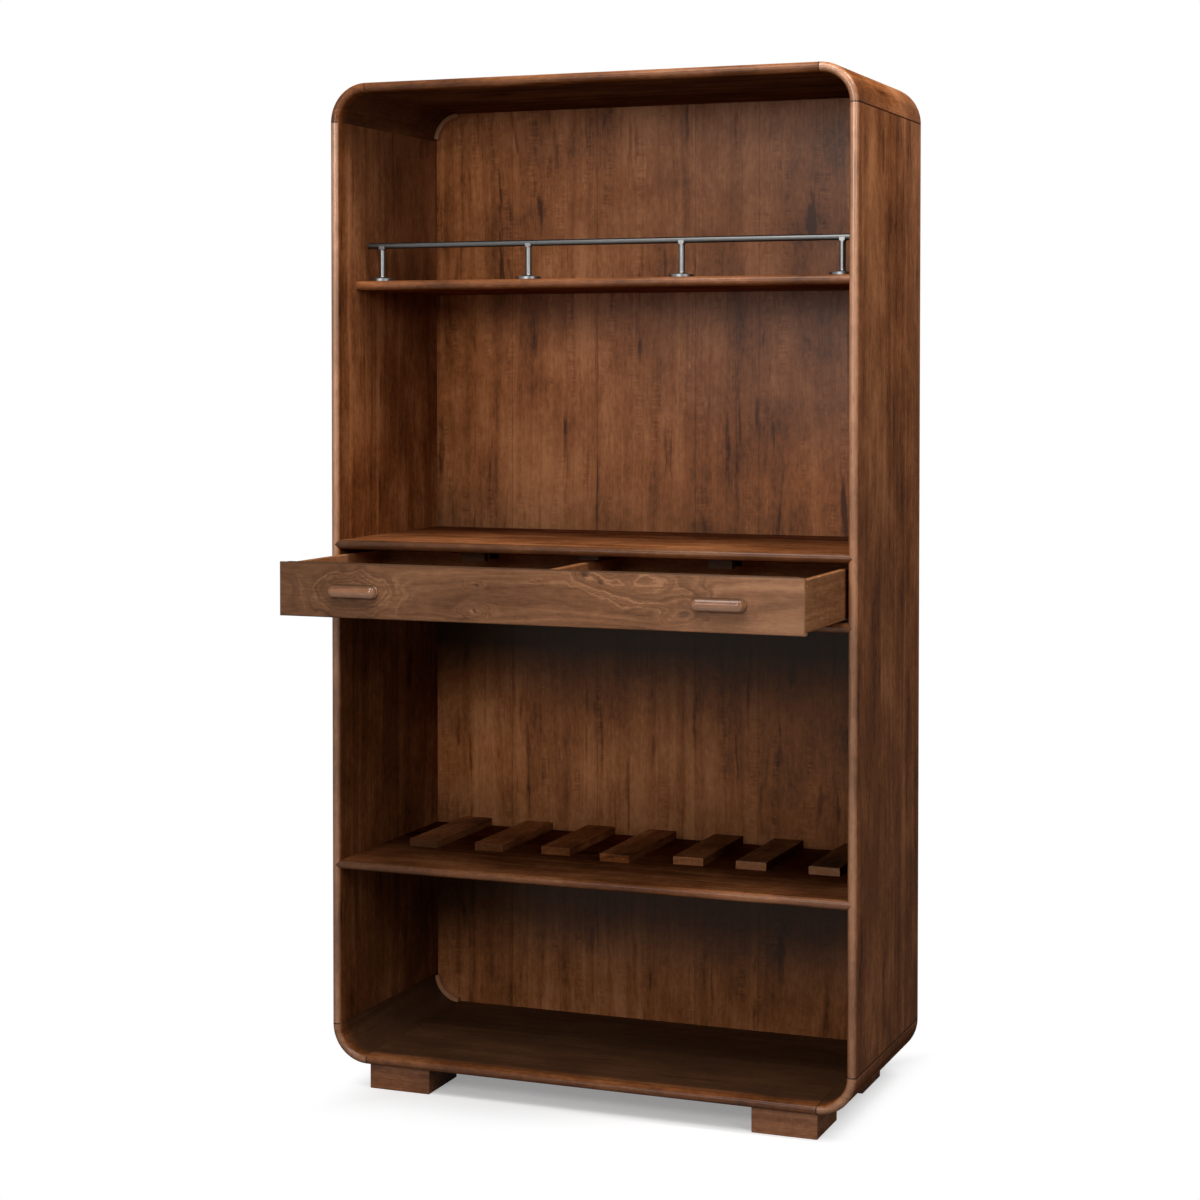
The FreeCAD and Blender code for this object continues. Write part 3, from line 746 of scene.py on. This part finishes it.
def sweep_tree():
    """A section carried along a path, with closed ends."""
    name = "Section along a path"
    if name in bpy.data.node_groups:
        return bpy.data.node_groups[name]
    tree, given, end = new_tree(
        name, "GeometryNodeTree",
        [("Path", "Geometry"), ("Section", "Object"), ("Section across", "Vector"),
         ("Finish", "Material")], [("Piece", "Geometry")])
    section = put(tree, "GeometryNodeObjectInfo", {"Object": given["Section"]})
    path = put(tree, "GeometryNodeSetCurveNormal",
               {"Curve": given["Path"], "Normal": given["Section across"]}, mode="FREE")
    swept = put(tree, "GeometryNodeCurveToMesh",
                {"Curve": path.outputs[0], "Profile Curve": section.outputs["Geometry"],
                 "Fill Caps": True})
    finish(end, "Piece", swept.outputs[0], given["Finish"])
    return tree


def give_inputs(modifier, values):
    """Sets a geometry modifier's inputs by their names."""
    for item in modifier.node_group.interface.items_tree:
        if item.item_type == "SOCKET" and item.in_out == "INPUT" and item.name in values:
            modifier[item.identifier] = values[item.name]


def swept_piece(name, section, path, across, material):
    """A piece made by carrying a closed section along a path."""
    profile = outline_curve(name + "_section", [(a, b, 0.0) for a, b in section], True)
    source = outline_curve(name + "_path", path, False)
    modifier = source.modifiers.new("Sweep", "NODES")
    modifier.node_group = sweep_tree()
    give_inputs(modifier, {"Section": profile, "Section across": across, "Finish": material})
    mesh = evaluated_mesh(source)
    bpy.data.objects.remove(source)
    bpy.data.objects.remove(profile)
    outwards(mesh)
    shade_smooth(mesh)
    return new_object(name, mesh)


def arc(centre, radius, start, end, faces):
    """Points of an arc, with angles in degrees."""
    turns = [math.radians(between((start, end), i / faces)) for i in range(faces + 1)]
    return [(centre[0] + radius * math.cos(t), centre[1] + radius * math.sin(t)) for t in turns]


def swept_wood(node, section, path, across, axis, seed, fit=None):
    """A piece of the carcass, swept, fitted where it has to be, and given its wood."""
    piece = swept_piece(node + "_dressed", section, path, across, carcass_wood())
    if fit:
        fit(piece)
    grain_along(piece, axis, seed)
    return dress(piece, carcass_wood(), "cabinet", "carcass_wood", node)


def merged_copy(name, *nodes):
    """One clean mesh of the nodes, without the loose triangles' inner lines."""
    mesh = bpy.data.meshes.new(name)
    with edited(mesh, *[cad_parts[node].data for node in nodes]) as work:
        bmesh.ops.remove_doubles(work, verts=work.verts, dist=merge_distance)
        bmesh.ops.dissolve_limit(work, angle_limit=flat_angle, verts=work.verts,
                                 edges=work.edges)
    shade_smooth(mesh)
    return new_object(name, mesh)


def eased_copy(node, axis, seed, material, body, slot, width=None, segments=2):
    """A copy of a wooden node with eased edges, which stands for it."""
    piece = merged_copy(node + "_dressed", node)
    grain_along(piece, axis, seed)
    dress(piece, material, body, slot, node)
    return ease(piece, width or sizes().edge_ease, segments)


def solid_boxes(node):
    """Lowest and highest corner of each separate solid in a node."""
    work = bmesh.new()
    work.from_mesh(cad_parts[node].data)
    bmesh.ops.remove_doubles(work, verts=work.verts, dist=merge_distance)
    seen, found = set(), []
    for first in work.verts:
        if first in seen:
            continue
        seen.add(first)
        group, waiting = [], [first]
        while waiting:
            vertex = waiting.pop()
            group.append(vertex.co.copy())
            for edge in vertex.link_edges:
                other = edge.other_vert(vertex)
                if other not in seen:
                    seen.add(other)
                    waiting.append(other)
        low = Vector([min(p[i] for p in group) for i in range(3)])
        high = Vector([max(p[i] for p in group) for i in range(3)])
        found.append((low, high))
    work.free()
    return found


# Carcass

# Stored values that make the wood paler above 0, up to fully pale and polished at 1, for rubbed
# edges and painted light, and darker below 0, for painted shade. Pairs are its values at the
# cabinet's bottom and top or, on what runs across it, at its left and right.
# Painted light on the outer faces, darker at the bottom and lighter at the top; painted shade on
# the corner pieces' inner faces
outer_painted_light = (-0.15, 0.2)
corner_inner_painted_shade = (-0.8, -0.5)
foot_wear = 0.1
# Painted shade at the drawer front's left end and along its top edge, painted light at its right
# end
drawer_front_painted_light, drawer_top_painted_shade = (-0.4, 0.25), -0.8
# Painted shade on the drawer's back and, darker still, on the fittings in the cabinet's shade
drawer_back_painted_shade = -0.3
fittings_painted_shade = -0.95

# The same, from the leftmost strip of the rack to the rightmost, and from a pull's lower edge to
# its upper one: painted light and shade, the strips' front ends lighter and their tops darker
# towards the right, the pulls lighter below and darker on top
batten_front_painted_light, batten_painted_light = (-0.7, 0.7), (0.15, -0.5)
pull_painted_light = (1.3, -0.9)

# How dark the seams are
inner_seam, outer_seam, cleat_seam = 0.3, 1.0, 0.6

# Numbers of faces round what is rounded
batten_steps, rod_end_steps, cleat_steps = 4, 4, 3
groove_steps, crest_steps, pull_end_steps = 8, 14, 12


def board_section(*rear):
    """Depth behind the front, and depth below the outer face, of a board with a round front."""
    front = arc((nose, nose), nose, 270, 90, sizes().nose_steps)
    return front + [(nose + sizes().pale_nose_width, board), *rear]


def carcass_board(node, path, axis, seed, at_nose, inside):
    """One carcass board or corner piece along its outer line, from the front to the rear."""
    depth = rear_y - front_y
    inner_rear = depth - back_thickness
    rebate = board - sizes().rebate
    section = board_section((inner_rear, board), (inner_rear, rebate), (depth, rebate),
                            (depth, 0.0))
    path = [(x, front_y, z) for x, z in path]
    piece = swept_wood(node, section, path, (0, 1, 0), axis, seed)
    mark_seams(piece, inner_seam, outer_seam)
    mark_wear_and_light(piece, at_nose, inside, outer_painted_light)
    ease_seams(piece, sizes().seam_ease)


def with_seam_lines(start, end):
    """A straight run between two places, with a point just inside each end."""
    start, end = Vector(start), Vector(end)
    inset = (end - start).normalized() * sizes().seam_line
    return [start, start + inset, end - inset, end]


class BARCABINET_OT_boards(bpy.types.Operator):
    """Makes the two sides, the top and the bottom of the carcass"""
    bl_idname = "bar_cabinet.boards"
    bl_label = "Carcass boards"

    def execute(self, context):
        low, high = corner_bottom_z, corner_top_z
        # From where to where each runs, its grain, how pale its nose is, partly rubbed and partly
        # painted highlight, and the painted light and shade of its inner face
        boards = (("side_panel_right", (half_width, low), (half_width, high), ALONG_Z,
                   (0.45, 0.95), (-0.3, 0.2)),
                  ("side_panel_left", (-half_width, high), (-half_width, low), ALONG_Z,
                   (0.60, 1.35), (-0.3, 0.2)),
                  ("top_panel", (corner_x, carcass_top), (-corner_x, carcass_top), ALONG_X,
                   (-0.35, -0.35), (-0.5, -0.5)),
                  ("bottom_panel", (-corner_x, carcass_bottom), (corner_x, carcass_bottom),
                   ALONG_X, (-0.25, -0.25), (-0.8, -0.8)))
        for seed, (node, start, end, axis, at_nose, inside) in enumerate(boards, 1):
            carcass_board(node, with_seam_lines(start, end), axis, seed, at_nose, inside)
        return {"FINISHED"}


class BARCABINET_OT_corners(bpy.types.Operator):
    """Makes the four quarter-round corner pieces"""
    bl_idname = "bar_cabinet.corners"
    bl_label = "Corner pieces"

    def execute(self, context):
        # Middle of each arc, where it starts, and how pale its nose is, partly rubbed and partly
        # painted highlight and shade
        corners = (("corner_top_right", corner_x, corner_top_z, 0, 0.8),
                   ("corner_top_left", -corner_x, corner_top_z, 90, -0.2),
                   ("corner_bottom_left", -corner_x, corner_bottom_z, 180, 0.4),
                   ("corner_bottom_right", corner_x, corner_bottom_z, 270, 0.5))
        line = math.degrees(sizes().seam_line / corner_radius)
        for seed, (node, x, z, start, at_nose) in enumerate(corners, 5):
            first, last = arc((x, z), corner_radius, start, start + 90, 1)
            inner = arc((x, z), corner_radius, start + line, start + 90 - line,
                        sizes().arc_steps)
            carcass_board(node, [first, *inner, last], ALONG_Y, seed, (at_nose, at_nose),
                          corner_inner_painted_shade)
        return {"FINISHED"}


class BARCABINET_OT_shelves(bpy.types.Operator):
    """Makes the four shelves, whose round fronts are fitted to the round fronts of the sides"""
    bl_idname = "bar_cabinet.shelves"
    bl_label = "Shelves"

    def execute(self, context):
        # Paleness of each round front at its left and right, partly rubbed and partly painted
        # light and shade, and the painted light and shade of the rest of the shelf
        shelves = (("bottle_shelf", (-0.6, 0.3), -0.3), ("dust_shelf", (0.15, 0.15), 0.0),
                   ("middle_shelf", (-0.7, -0.5), 0.06), ("upper_shelf", (0.12, 0.12), -0.15))
        for seed, (node, at_nose, on_top) in enumerate(shelves, 10):
            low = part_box(node)[0]
            depth = back_low.y - low.y
            path = [(-inside_half, low.y, low.z), (inside_half, low.y, low.z)]
            piece = swept_wood(node, board_section((depth, board), (depth, 0.0)), path,
                               (0, 1, 0), ALONG_X, seed, self.fit_ends)
            store(piece, "wear", lambda place: between(at_nose, from_left(place))
                  if place.y < low.y + nose else on_top)
        return {"FINISHED"}

    def fit_ends(self, piece):
        """Lengthens the round front to where the side boards curve away."""
        for vertex in piece.data.vertices:
            below = max(front_y + nose - vertex.co.y, 0.0)
            reach = half_width - nose - math.sqrt(max(nose ** 2 - below ** 2, 0.0))
            vertex.co.x = math.copysign(reach, vertex.co.x)


# Painted light and shade on the back, mostly shade below the boards and in the lower bays: height,
# amount at its left and at its right
back_painted_light_and_shade = ((0.05, -0.25, -0.35), (0.18, -0.35, -0.50), (0.32, -0.85, -0.85),
              (0.43, -0.90, -0.90), (0.46, -0.50, -0.50), (0.56, -0.10, -0.35),
              (0.68, 0.15, -0.40), (0.77, -0.30, -0.50), (0.84, -0.95, -0.95),
              (1.00, -1.00, -1.00), (1.09, -0.70, -0.15), (1.20, -0.40, 0.10),
              (1.35, -0.10, 0.20), (1.57, 0.00, 0.20), (1.70, -0.10, 0.00),
              (1.85, 0.00, 0.20), (1.98, 0.10, 0.35))


class BARCABINET_OT_back(bpy.types.Operator):
    """Makes the veneered back panel and its four curved cleats"""
    bl_idname = "bar_cabinet.back"
    bl_label = "Back panel and cleats"

    def execute(self, context):
        self.paint_back_light_and_shade(eased_copy("back_panel", ALONG_Z, 15, veneer(), "cabinet", "carcass_wood",
                              sizes().edge_ease / 2))
        for seed, side in enumerate(("top_left", "top_right", "bottom_left", "bottom_right"), 16):
            piece = eased_copy("back_cleat_" + side, ALONG_X, seed, cleat_wood(), "cabinet",
                               "carcass_wood", sizes().cleat_ease, cleat_steps)
            mark_seams(piece, cleat_seam, cleat_seam)
        return {"FINISHED"}

    def paint_back_light_and_shade(self, back):
        """Paints shade on the back, darker below the boards and in the lower bays, and a little
        light in the top bay.
        """
        cut_across(back, ALONG_Z, [z for z, left, right in back_painted_light_and_shade[1:-1]])
        cut_across(back, ALONG_X, [-inside_half / 2, 0.0, inside_half / 2])

        def back_light_and_shade_at(place):
            above = next(i for i, row in enumerate(back_painted_light_and_shade) if row[0] > place.z)
            low, high = back_painted_light_and_shade[above - 1], back_painted_light_and_shade[above]
            share = (place.z - low[0]) / (high[0] - low[0])
            left, right = (between((low[i], high[i]), share) for i in (1, 2))
            return between((left, right), from_left(place))

        store(back, "wear", back_light_and_shade_at)


class BARCABINET_OT_battens(bpy.types.Operator):
    """Makes the seven strips of the bottle rack"""
    bl_idname = "bar_cabinet.battens"
    bl_label = "Rack strips"

    def execute(self, context):
        names = nodes_named("bottle_batten_")
        for index, node in enumerate(names):
            low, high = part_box(node)
            width, height, radius = high.x - low.x, high.z - low.z, sizes().batten_ease
            top = height - radius
            section = [(0.0, 0.0), *arc((top, radius), radius, 270, 360, batten_steps),
                       *arc((top, width - radius), radius, 0, 90, batten_steps), (0.0, width)]
            path = with_seam_lines((low.x, low.y, low.z), (low.x, high.y, low.z))
            piece = swept_wood(node, section, path, (0, 0, 1), ALONG_Y, 20 + index)
            share = index / (len(names) - 1)
            at_front, above = between(batten_front_painted_light, share), between(batten_painted_light, share)
            store(piece, "wear", lambda place: at_front
                  if place.y < low.y + merge_distance else above)
            ease(piece, sizes().edge_ease)
        return {"FINISHED"}


class BARCABINET_OT_feet(bpy.types.Operator):
    """Makes the four block feet"""
    bl_idname = "bar_cabinet.feet"
    bl_label = "Feet"

    def execute(self, context):
        for seed, node in enumerate(nodes_named("foot_front", "foot_rear"), 30):
            foot = eased_copy(node, ALONG_X, seed, carcass_wood(), "cabinet", "carcass_wood")
            store(foot, "wear", lambda place: foot_wear)
        return {"FINISHED"}


# Gallery rail

class BARCABINET_OT_gallery(bpy.types.Operator):
    """Makes the rail on the upper shelf: its rod, posts and round flanges"""
    bl_idname = "bar_cabinet.gallery"
    bl_label = "Gallery rail"

    def execute(self, context):
        low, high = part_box("gallery_rod")
        radius = (high.z - low.z) / 2
        middle = (low + high) / 2
        section = arc((0.0, 0.0), radius, 0, 360, 2 * sizes().nose_steps)[:-1]
        path = [(low.x, middle.y, middle.z), (high.x, middle.y, middle.z)]
        rod = swept_piece("gallery_rod_dressed", section, path, (0, 1, 0), rod_metal())
        dress(rod, rod_metal(), "cabinet", "rail_metal", "gallery_rod")
        ease(rod, sizes().rod_ease, rod_end_steps)
        for node in nodes_named("gallery_post_", "gallery_flange_"):
            piece = merged_copy(node + "_dressed", node)
            dress(piece, post_metal(), "cabinet", "rail_metal", node)
            ease(piece, sizes().metal_ease)
        return {"FINISHED"}


# Drawer and what it runs on

class BARCABINET_OT_drawer(bpy.types.Operator):
    """Makes the drawer's front and box"""
    bl_idname = "bar_cabinet.drawer"
    bl_label = "Drawer"

    def execute(self, context):
        self.paint_front_light_and_shade(eased_copy("drawer_front", ALONG_X, 40, front_wood(), "drawer",
                                   "front_wood"))
        boards = (("drawer_side_left", ALONG_Y), ("drawer_side_right", ALONG_Y),
                  ("drawer_back", ALONG_X), ("drawer_divider", ALONG_Y),
                  ("drawer_floor", ALONG_X))
        for seed, (node, axis) in enumerate(boards, 41):
            piece = eased_copy(node, axis, seed, inner_wood(), "drawer", "inner_wood")
            if node == "drawer_back":
                store(piece, "wear", lambda place: drawer_back_painted_shade)
        return {"FINISHED"}

    def paint_front_light_and_shade(self, front):
        """Paints shade on the front at its left end and light at its right end, and the most shade
        along its top edge.
        """
        top = max(v.co.z for v in front.data.vertices)
        line = sizes().top_shade_width
        cut_across(front, ALONG_Z, [top - line, top - 2 * line])
        store(front, "wear", lambda place: drawer_top_painted_shade if place.z > top - 1.5 * line
              else between(drawer_front_painted_light, from_left(place)))


class BARCABINET_OT_pulls(bpy.types.Operator):
    """Makes the two pill-shaped drawer pulls with their finger groove"""
    bl_idname = "bar_cabinet.pulls"
    bl_label = "Drawer pulls"

    def execute(self, context):
        for seed, node in enumerate(("pull_left", "pull_right"), 46):
            piece = new_object(node + "_dressed", self.pull_mesh(node))
            grain_along(piece, ALONG_X, seed)
            low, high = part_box(node)
            store(piece, "wear",
                  lambda place: between(pull_painted_light, (place.z - low.z) / (high.z - low.z)))
            dress(piece, pull_wood(), "drawer", "pull_wood", node)
            ease(piece, sizes().edge_ease / 2, angle=pull_sharp_angle)
        return {"FINISHED"}

    def outline(self, radius):
        """Distance from the middle line and height above the front, from the foot to the crest."""
        rim, groove = sizes().pull_rim, sizes().pull_groove
        shoulder = rim + 2 * groove
        hollow = arc((radius, rim + groove), groove, 270, 90, groove_steps)
        crest = arc((0.0, shoulder), radius, 0, 90, crest_steps)
        return [(0.0, 0.0), (radius, 0.0)] + hollow + crest[1:]

    def pull_mesh(self, node):
        """Carries the outline round a line with half-round ends."""
        low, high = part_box(node)
        radius = (high.z - low.z) / 2
        middle = (low + high) / 2
        run = (high.x - low.x) / 2 - radius
        end = arc((0.0, 0.0), 1.0, -90, 90, pull_end_steps)
        ring = [(run, c, s) for c, s in end] + [(-run, -c, -s) for c, s in end]
        mesh = bpy.data.meshes.new(node)
        with edited(mesh) as work:
            rows = [[work.verts.new((middle.x + x + reach * c, high.y - height,
                                     middle.z + reach * s)) for x, c, s in ring]
                    for reach, height in self.outline(radius)]
            for first, second in zip(rows, rows[1:]):
                for i in range(len(ring)):
                    j = (i + 1) % len(ring)
                    work.faces.new((first[i], first[j], second[j], second[i]))
        outwards(mesh)
        shade_smooth(mesh)
        return mesh


class BARCABINET_OT_fittings(bpy.types.Operator):
    """Makes the runners, guides, kicker, stops and turn buttons, and the corner tongues"""
    bl_idname = "bar_cabinet.fittings"
    bl_label = "Drawer fittings"

    def execute(self, context):
        bodies = {"turn_button_left": "button_left", "turn_button_right": "button_right"}
        names = nodes_named("drawer_runner_", "drawer_guide_", "drawer_stop_", "drawer_kicker",
                            *bodies)
        for seed, node in enumerate(names, 50):
            axis = ALONG_X if node in bodies else ALONG_Y
            piece = eased_copy(node, axis, seed, carcass_wood(), bodies.get(node, "cabinet"),
                               "inner_wood")
            store(piece, "wear", lambda place: fittings_painted_shade)
        eased_copy("corner_tongues", ALONG_Y, 60, inner_wood(), "cabinet", "inner_wood")
        return {"FINISHED"}


# Screws

head_steps, shank_steps = 24, 12
recess_length_share = 1.2
pan_top_share = 0.8


def screw_tree():
    """Screws with cross recesses, standing on points and turned at random about their axes."""
    name = "Screws on points"
    if name in bpy.data.node_groups:
        return bpy.data.node_groups[name]
    lengths = ("Top radius", "Base radius", "Head height", "Head sink", "Shank radius",
               "Shank length", "Recess width", "Recess depth")
    inputs = [("Places", "Geometry"), ("Out of the wood", "Vector"), ("Seed", "Int"),
              ("Finish", "Material")] + [(label, "Float") for label in lengths]
    tree, given, end = new_tree(name, "GeometryNodeTree", inputs, [("Screws", "Geometry")])

    def moved(geometry, z):
        place = put(tree, "ShaderNodeCombineXYZ", {"Z": z}).outputs[0]
        return put(tree, "GeometryNodeTransform",
                   {"Geometry": geometry, "Translation": place}).outputs[0]

    cone = put(tree, "GeometryNodeMeshCone",
               {"Vertices": head_steps, "Radius Top": given["Top radius"],
                "Radius Bottom": given["Base radius"], "Depth": given["Head height"]})
    head = moved(cone.outputs[0], maths("SUBTRACT", 0.0, given["Head sink"]))
    top = maths("SUBTRACT", given["Head height"], given["Head sink"])
    cut = put(tree, "GeometryNodeMeshBoolean", {"Mesh 1": head}, operation="DIFFERENCE",
              solver="EXACT")
    long_way = maths("MULTIPLY", given["Top radius"], recess_length_share)
    deep = maths("MULTIPLY", given["Recess depth"], 2.0)
    for x, y in ((long_way, given["Recess width"]), (given["Recess width"], long_way)):
        size = put(tree, "ShaderNodeCombineXYZ", {"X": x, "Y": y, "Z": deep}).outputs[0]
        bar = put(tree, "GeometryNodeMeshCube", {"Size": size}).outputs[0]
        feed(cut, {"Mesh 2": moved(bar, top)})
    shank = put(tree, "GeometryNodeMeshCylinder",
                {"Vertices": shank_steps, "Radius": given["Shank radius"],
                 "Depth": given["Shank length"]}).outputs[0]
    half = maths("MULTIPLY", given["Shank length"], -0.5)
    shank = moved(shank, maths("SUBTRACT", half, given["Head sink"]))
    whole = put(tree, "GeometryNodeJoinGeometry", {0: cut.outputs[0]})
    feed(whole, {0: shank})
    points = put(tree, "GeometryNodeMeshToPoints", {"Mesh": given["Places"]})
    upright = put(tree, "FunctionNodeAlignRotationToVector",
                  {"Vector": given["Out of the wood"]}, axis="Z")
    turn = put(tree, "FunctionNodeRandomValue", {"Seed": given["Seed"]}, data_type="FLOAT")
    turn.inputs[3].default_value = math.tau
    spin = put(tree, "ShaderNodeCombineXYZ", {"Z": turn.outputs[1]}).outputs[0]
    turned = put(tree, "FunctionNodeRotateRotation",
                 {"Rotation": upright.outputs[0], "Rotate By": spin}, rotation_space="LOCAL")
    placed = put(tree, "GeometryNodeInstanceOnPoints",
                 {"Points": points.outputs[0], "Instance": whole.outputs[0],
                  "Rotation": turned.outputs[0]})
    finish(end, "Screws", placed.outputs[0], given["Finish"])
    return tree


class BARCABINET_OT_screws(bpy.types.Operator):
    """Makes the screws of the back, the feet, the rail, the pulls and the turn buttons"""
    bl_idname = "bar_cabinet.screws"
    bl_label = "Screws"

    def execute(self, context):
        countersunk = (("back_screws", (0, 1, 0)), ("foot_screws", (0, 0, -1)),
                       ("gallery_screws", (0, 0, 1)), ("turn_button_screws", (0, 0, -1)))
        for seed, (node, direction) in enumerate(countersunk, 1):
            self.make(node, Vector(direction), "cabinet", seed, True)
        self.make("pull_screws", Vector((0, 1, 0)), "drawer", len(countersunk) + 1, False)
        return {"FINISHED"}

    def make(self, node, direction, body, seed, sunk):
        """Puts a screw where each solid of the node has its head."""
        boxes = solid_boxes(node)
        axis = max(range(3), key=lambda i: abs(direction[i]))
        across = (axis + 1) % 3
        low, high = boxes[0]
        head = (high[across] - low[across]) / 2
        reach = high[axis] - low[axis]
        shank = head / 2
        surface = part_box("drawer_front")[1].y
        places = []
        for low, high in boxes:
            spot = (low + high) / 2
            spot[axis] = high[axis] if direction[axis] > 0 else low[axis]
            if not sunk:
                spot[axis] = surface
            places.append(spot)
        mesh = bpy.data.meshes.new(node + "_places")
        mesh.from_pydata(places, [], [])
        source = new_object(node + "_places", mesh)
        modifier = source.modifiers.new("Screws", "NODES")
        modifier.node_group = screw_tree()
        height = shank if sunk else high.y - surface
        give_inputs(modifier, {
            "Out of the wood": direction, "Seed": seed, "Finish": screw_metal(),
            "Top radius": head if sunk else head * pan_top_share,
            "Base radius": shank if sunk else head,
            "Head height": height, "Head sink": height if sunk else 0.0,
            "Shank radius": shank, "Shank length": reach - height,
            "Recess width": sizes().slot_width, "Recess depth": sizes().slot_depth,
        })
        made = evaluated_mesh(source)
        bpy.data.objects.remove(source)
        piece = new_object(node + "_dressed", made)
        dress(piece, screw_metal(), body, "screw_steel", node)


# Stage

# Lamps: where each stands, where it aims, and its width
lamps = {"right": ((3.2, -2.2, 2.2), (0.0, 0.0, 1.0), 1.0),
         "front": ((0.1, -4.2, 2.4), (0.0, 0.0, 1.0), 1.0),
         "left": ((-1.0, -4.0, 1.7), (0.0, 0.0, 1.0), 1.2),
         "top": ((0.0, -1.6, 3.8), (0.0, 0.0, 1.0), 1.8),
         "side": ((1.6, -0.3, 3.2), (0.5, 0.1, 1.4), 0.8)}
sensor_width = 36.0
floor_half = 30.0
near_floor_grey = 0.9


def look_along(thing, direction):
    thing.rotation_euler = direction.to_track_quat("-Z", "Y").to_euler()


class BARCABINET_OT_stage(bpy.types.Operator):
    """Makes the floor, the surroundings, the lamps and the camera"""
    bl_idname = "bar_cabinet.stage"
    bl_label = "Stage"

    def execute(self, context):
        scene = context.scene
        scene.view_settings.view_transform = "Standard"
        setup = scene.cabinet_stage
        self.make_floor(setup)
        self.make_surroundings(scene, setup)
        for side, (place, aim, size) in lamps.items():
            data = bpy.data.lights.new(side + "_lamp", "AREA")
            data.size = size
            data.energy = getattr(setup, side + "_power")
            lamp = new_object(side + "_lamp", data)
            lamp.location = place
            look_along(lamp, Vector(aim) - Vector(place))
        self.make_camera(scene, setup)
        return {"FINISHED"}

    def straight_ray(self, tree):
        """1 for a ray that the camera, a mirror or glass sends, and 0 for other light."""
        path = put(tree, "ShaderNodeLightPath").outputs
        straight = maths("MAXIMUM", path["Is Camera Ray"], path["Is Glossy Ray"])
        return maths("MAXIMUM", straight, path["Is Transmission Ray"])

    def mixed(self, tree, factor, first, second):
        return put(tree, "ShaderNodeMixShader",
                   {0: factor, 1: first.outputs[0], 2: second.outputs[0]})

    def make_floor(self, setup):
        mesh = bpy.data.meshes.new("floor")
        corners = ((-1, -1), (1, -1), (1, 1), (-1, 1))
        mesh.from_pydata([(x * floor_half, y * floor_half, 0) for x, y in corners], [],
                         [(0, 1, 2, 3)])
        floor = new_object("floor", mesh)
        material = bpy.data.materials.new("Pale floor")
        material.use_nodes = True
        tree = material.node_tree
        tree.nodes.clear()
        pale = put(tree, "ShaderNodeBsdfDiffuse", {"Color": (*setup.floor_colour, 1.0)})
        bright = put(tree, "ShaderNodeBsdfDiffuse", {"Color": (*[near_floor_grey] * 3, 1.0)})
        glow = put(tree, "ShaderNodeEmission", {"Strength": setup.floor_glow})
        near = put(tree, "ShaderNodeAddShader", {0: bright.outputs[0], 1: glow.outputs[0]})
        white = put(tree, "ShaderNodeEmission", {"Strength": 1.0})
        x, y = put(tree, "ShaderNodeSeparateXYZ", {0: object_place(tree)}).outputs[:2]
        beside = maths("ABSOLUTE", x)
        before = maths("ABSOLUTE", maths("SUBTRACT", y, (front_y + rear_y) / 2))
        before = maths("SUBTRACT", before, (rear_y - front_y) / 2)
        far = maths("MAXIMUM",
                    steps_between(beside, half_width - setup.shadow_inset, half_width),
                    steps_between(before, 0.0, setup.shadow_reach))
        shown = self.mixed(tree, far, near, white)
        both = self.mixed(tree, self.straight_ray(tree), pale, shown)
        put(tree, "ShaderNodeOutputMaterial", {"Surface": both.outputs[0]})
        mesh.materials.append(material)

    def make_surroundings(self, scene, setup):
        world = bpy.data.worlds.new("Pale surroundings")
        world.use_nodes = True
        scene.world = world
        tree = world.node_tree
        tree.nodes.clear()
        lit, white = [put(tree, "ShaderNodeBackground",
                          {"Color": (1, 1, 1, 1), "Strength": strength})
                      for strength in (setup.world_level, 1.0)]
        both = self.mixed(tree, self.straight_ray(tree), lit, white)
        put(tree, "ShaderNodeOutputWorld", {"Surface": both.outputs[0]})

    def make_camera(self, scene, setup):
        data = bpy.data.cameras.new("camera")
        data.lens = setup.lens
        data.sensor_width = sensor_width
        data.shift_x, data.shift_y = setup.shift
        camera = new_object("camera", data)
        camera.location = setup.camera_place
        turn, tilt = setup.camera_turn, setup.camera_tilt
        look_along(camera, Vector((-math.sin(turn) * math.cos(tilt),
                                   math.cos(turn) * math.cos(tilt), math.sin(tilt))))
        scene.camera = camera


steps = (BARCABINET_OT_boards, BARCABINET_OT_corners, BARCABINET_OT_shelves,
         BARCABINET_OT_back, BARCABINET_OT_battens, BARCABINET_OT_feet,
         BARCABINET_OT_gallery, BARCABINET_OT_drawer, BARCABINET_OT_pulls,
         BARCABINET_OT_fittings, BARCABINET_OT_screws, BARCABINET_OT_stage)


class BARCABINET_PT_steps(bpy.types.Panel):
    """Lists the steps that dress the cabinet, with its sizes and colours"""
    bl_idname = "BARCABINET_PT_steps"
    bl_label = "Bar cabinet"
    bl_space_type = "VIEW_3D"
    bl_region_type = "UI"
    bl_category = "Bar cabinet"

    def draw(self, context):
        for step in steps:
            self.layout.operator(step.bl_idname)
        for group in (context.scene.cabinet_sizes, context.scene.cabinet_colours,
                      context.scene.cabinet_stage):
            box = self.layout.box()
            for name in group.bl_rna.properties.keys():
                if name not in ("rna_type", "name"):
                    box.prop(group, name)


classes = (CabinetSizes, CabinetColours, CabinetStage) + steps + (BARCABINET_PT_steps,)


def register():
    for cls in classes:
        bpy.utils.register_class(cls)
    bpy.types.Scene.cabinet_sizes = PointerProperty(type=CabinetSizes)
    bpy.types.Scene.cabinet_colours = PointerProperty(type=CabinetColours)
    bpy.types.Scene.cabinet_stage = PointerProperty(type=CabinetStage)


def unregister():
    del bpy.types.Scene.cabinet_stage
    del bpy.types.Scene.cabinet_colours
    del bpy.types.Scene.cabinet_sizes
    for cls in reversed(classes):
        bpy.utils.unregister_class(cls)


def main():
    register()
    for step in steps:
        family, name = step.bl_idname.split(".")
        getattr(getattr(bpy.ops, family), name)()


if __name__ == "__main__":
    main()
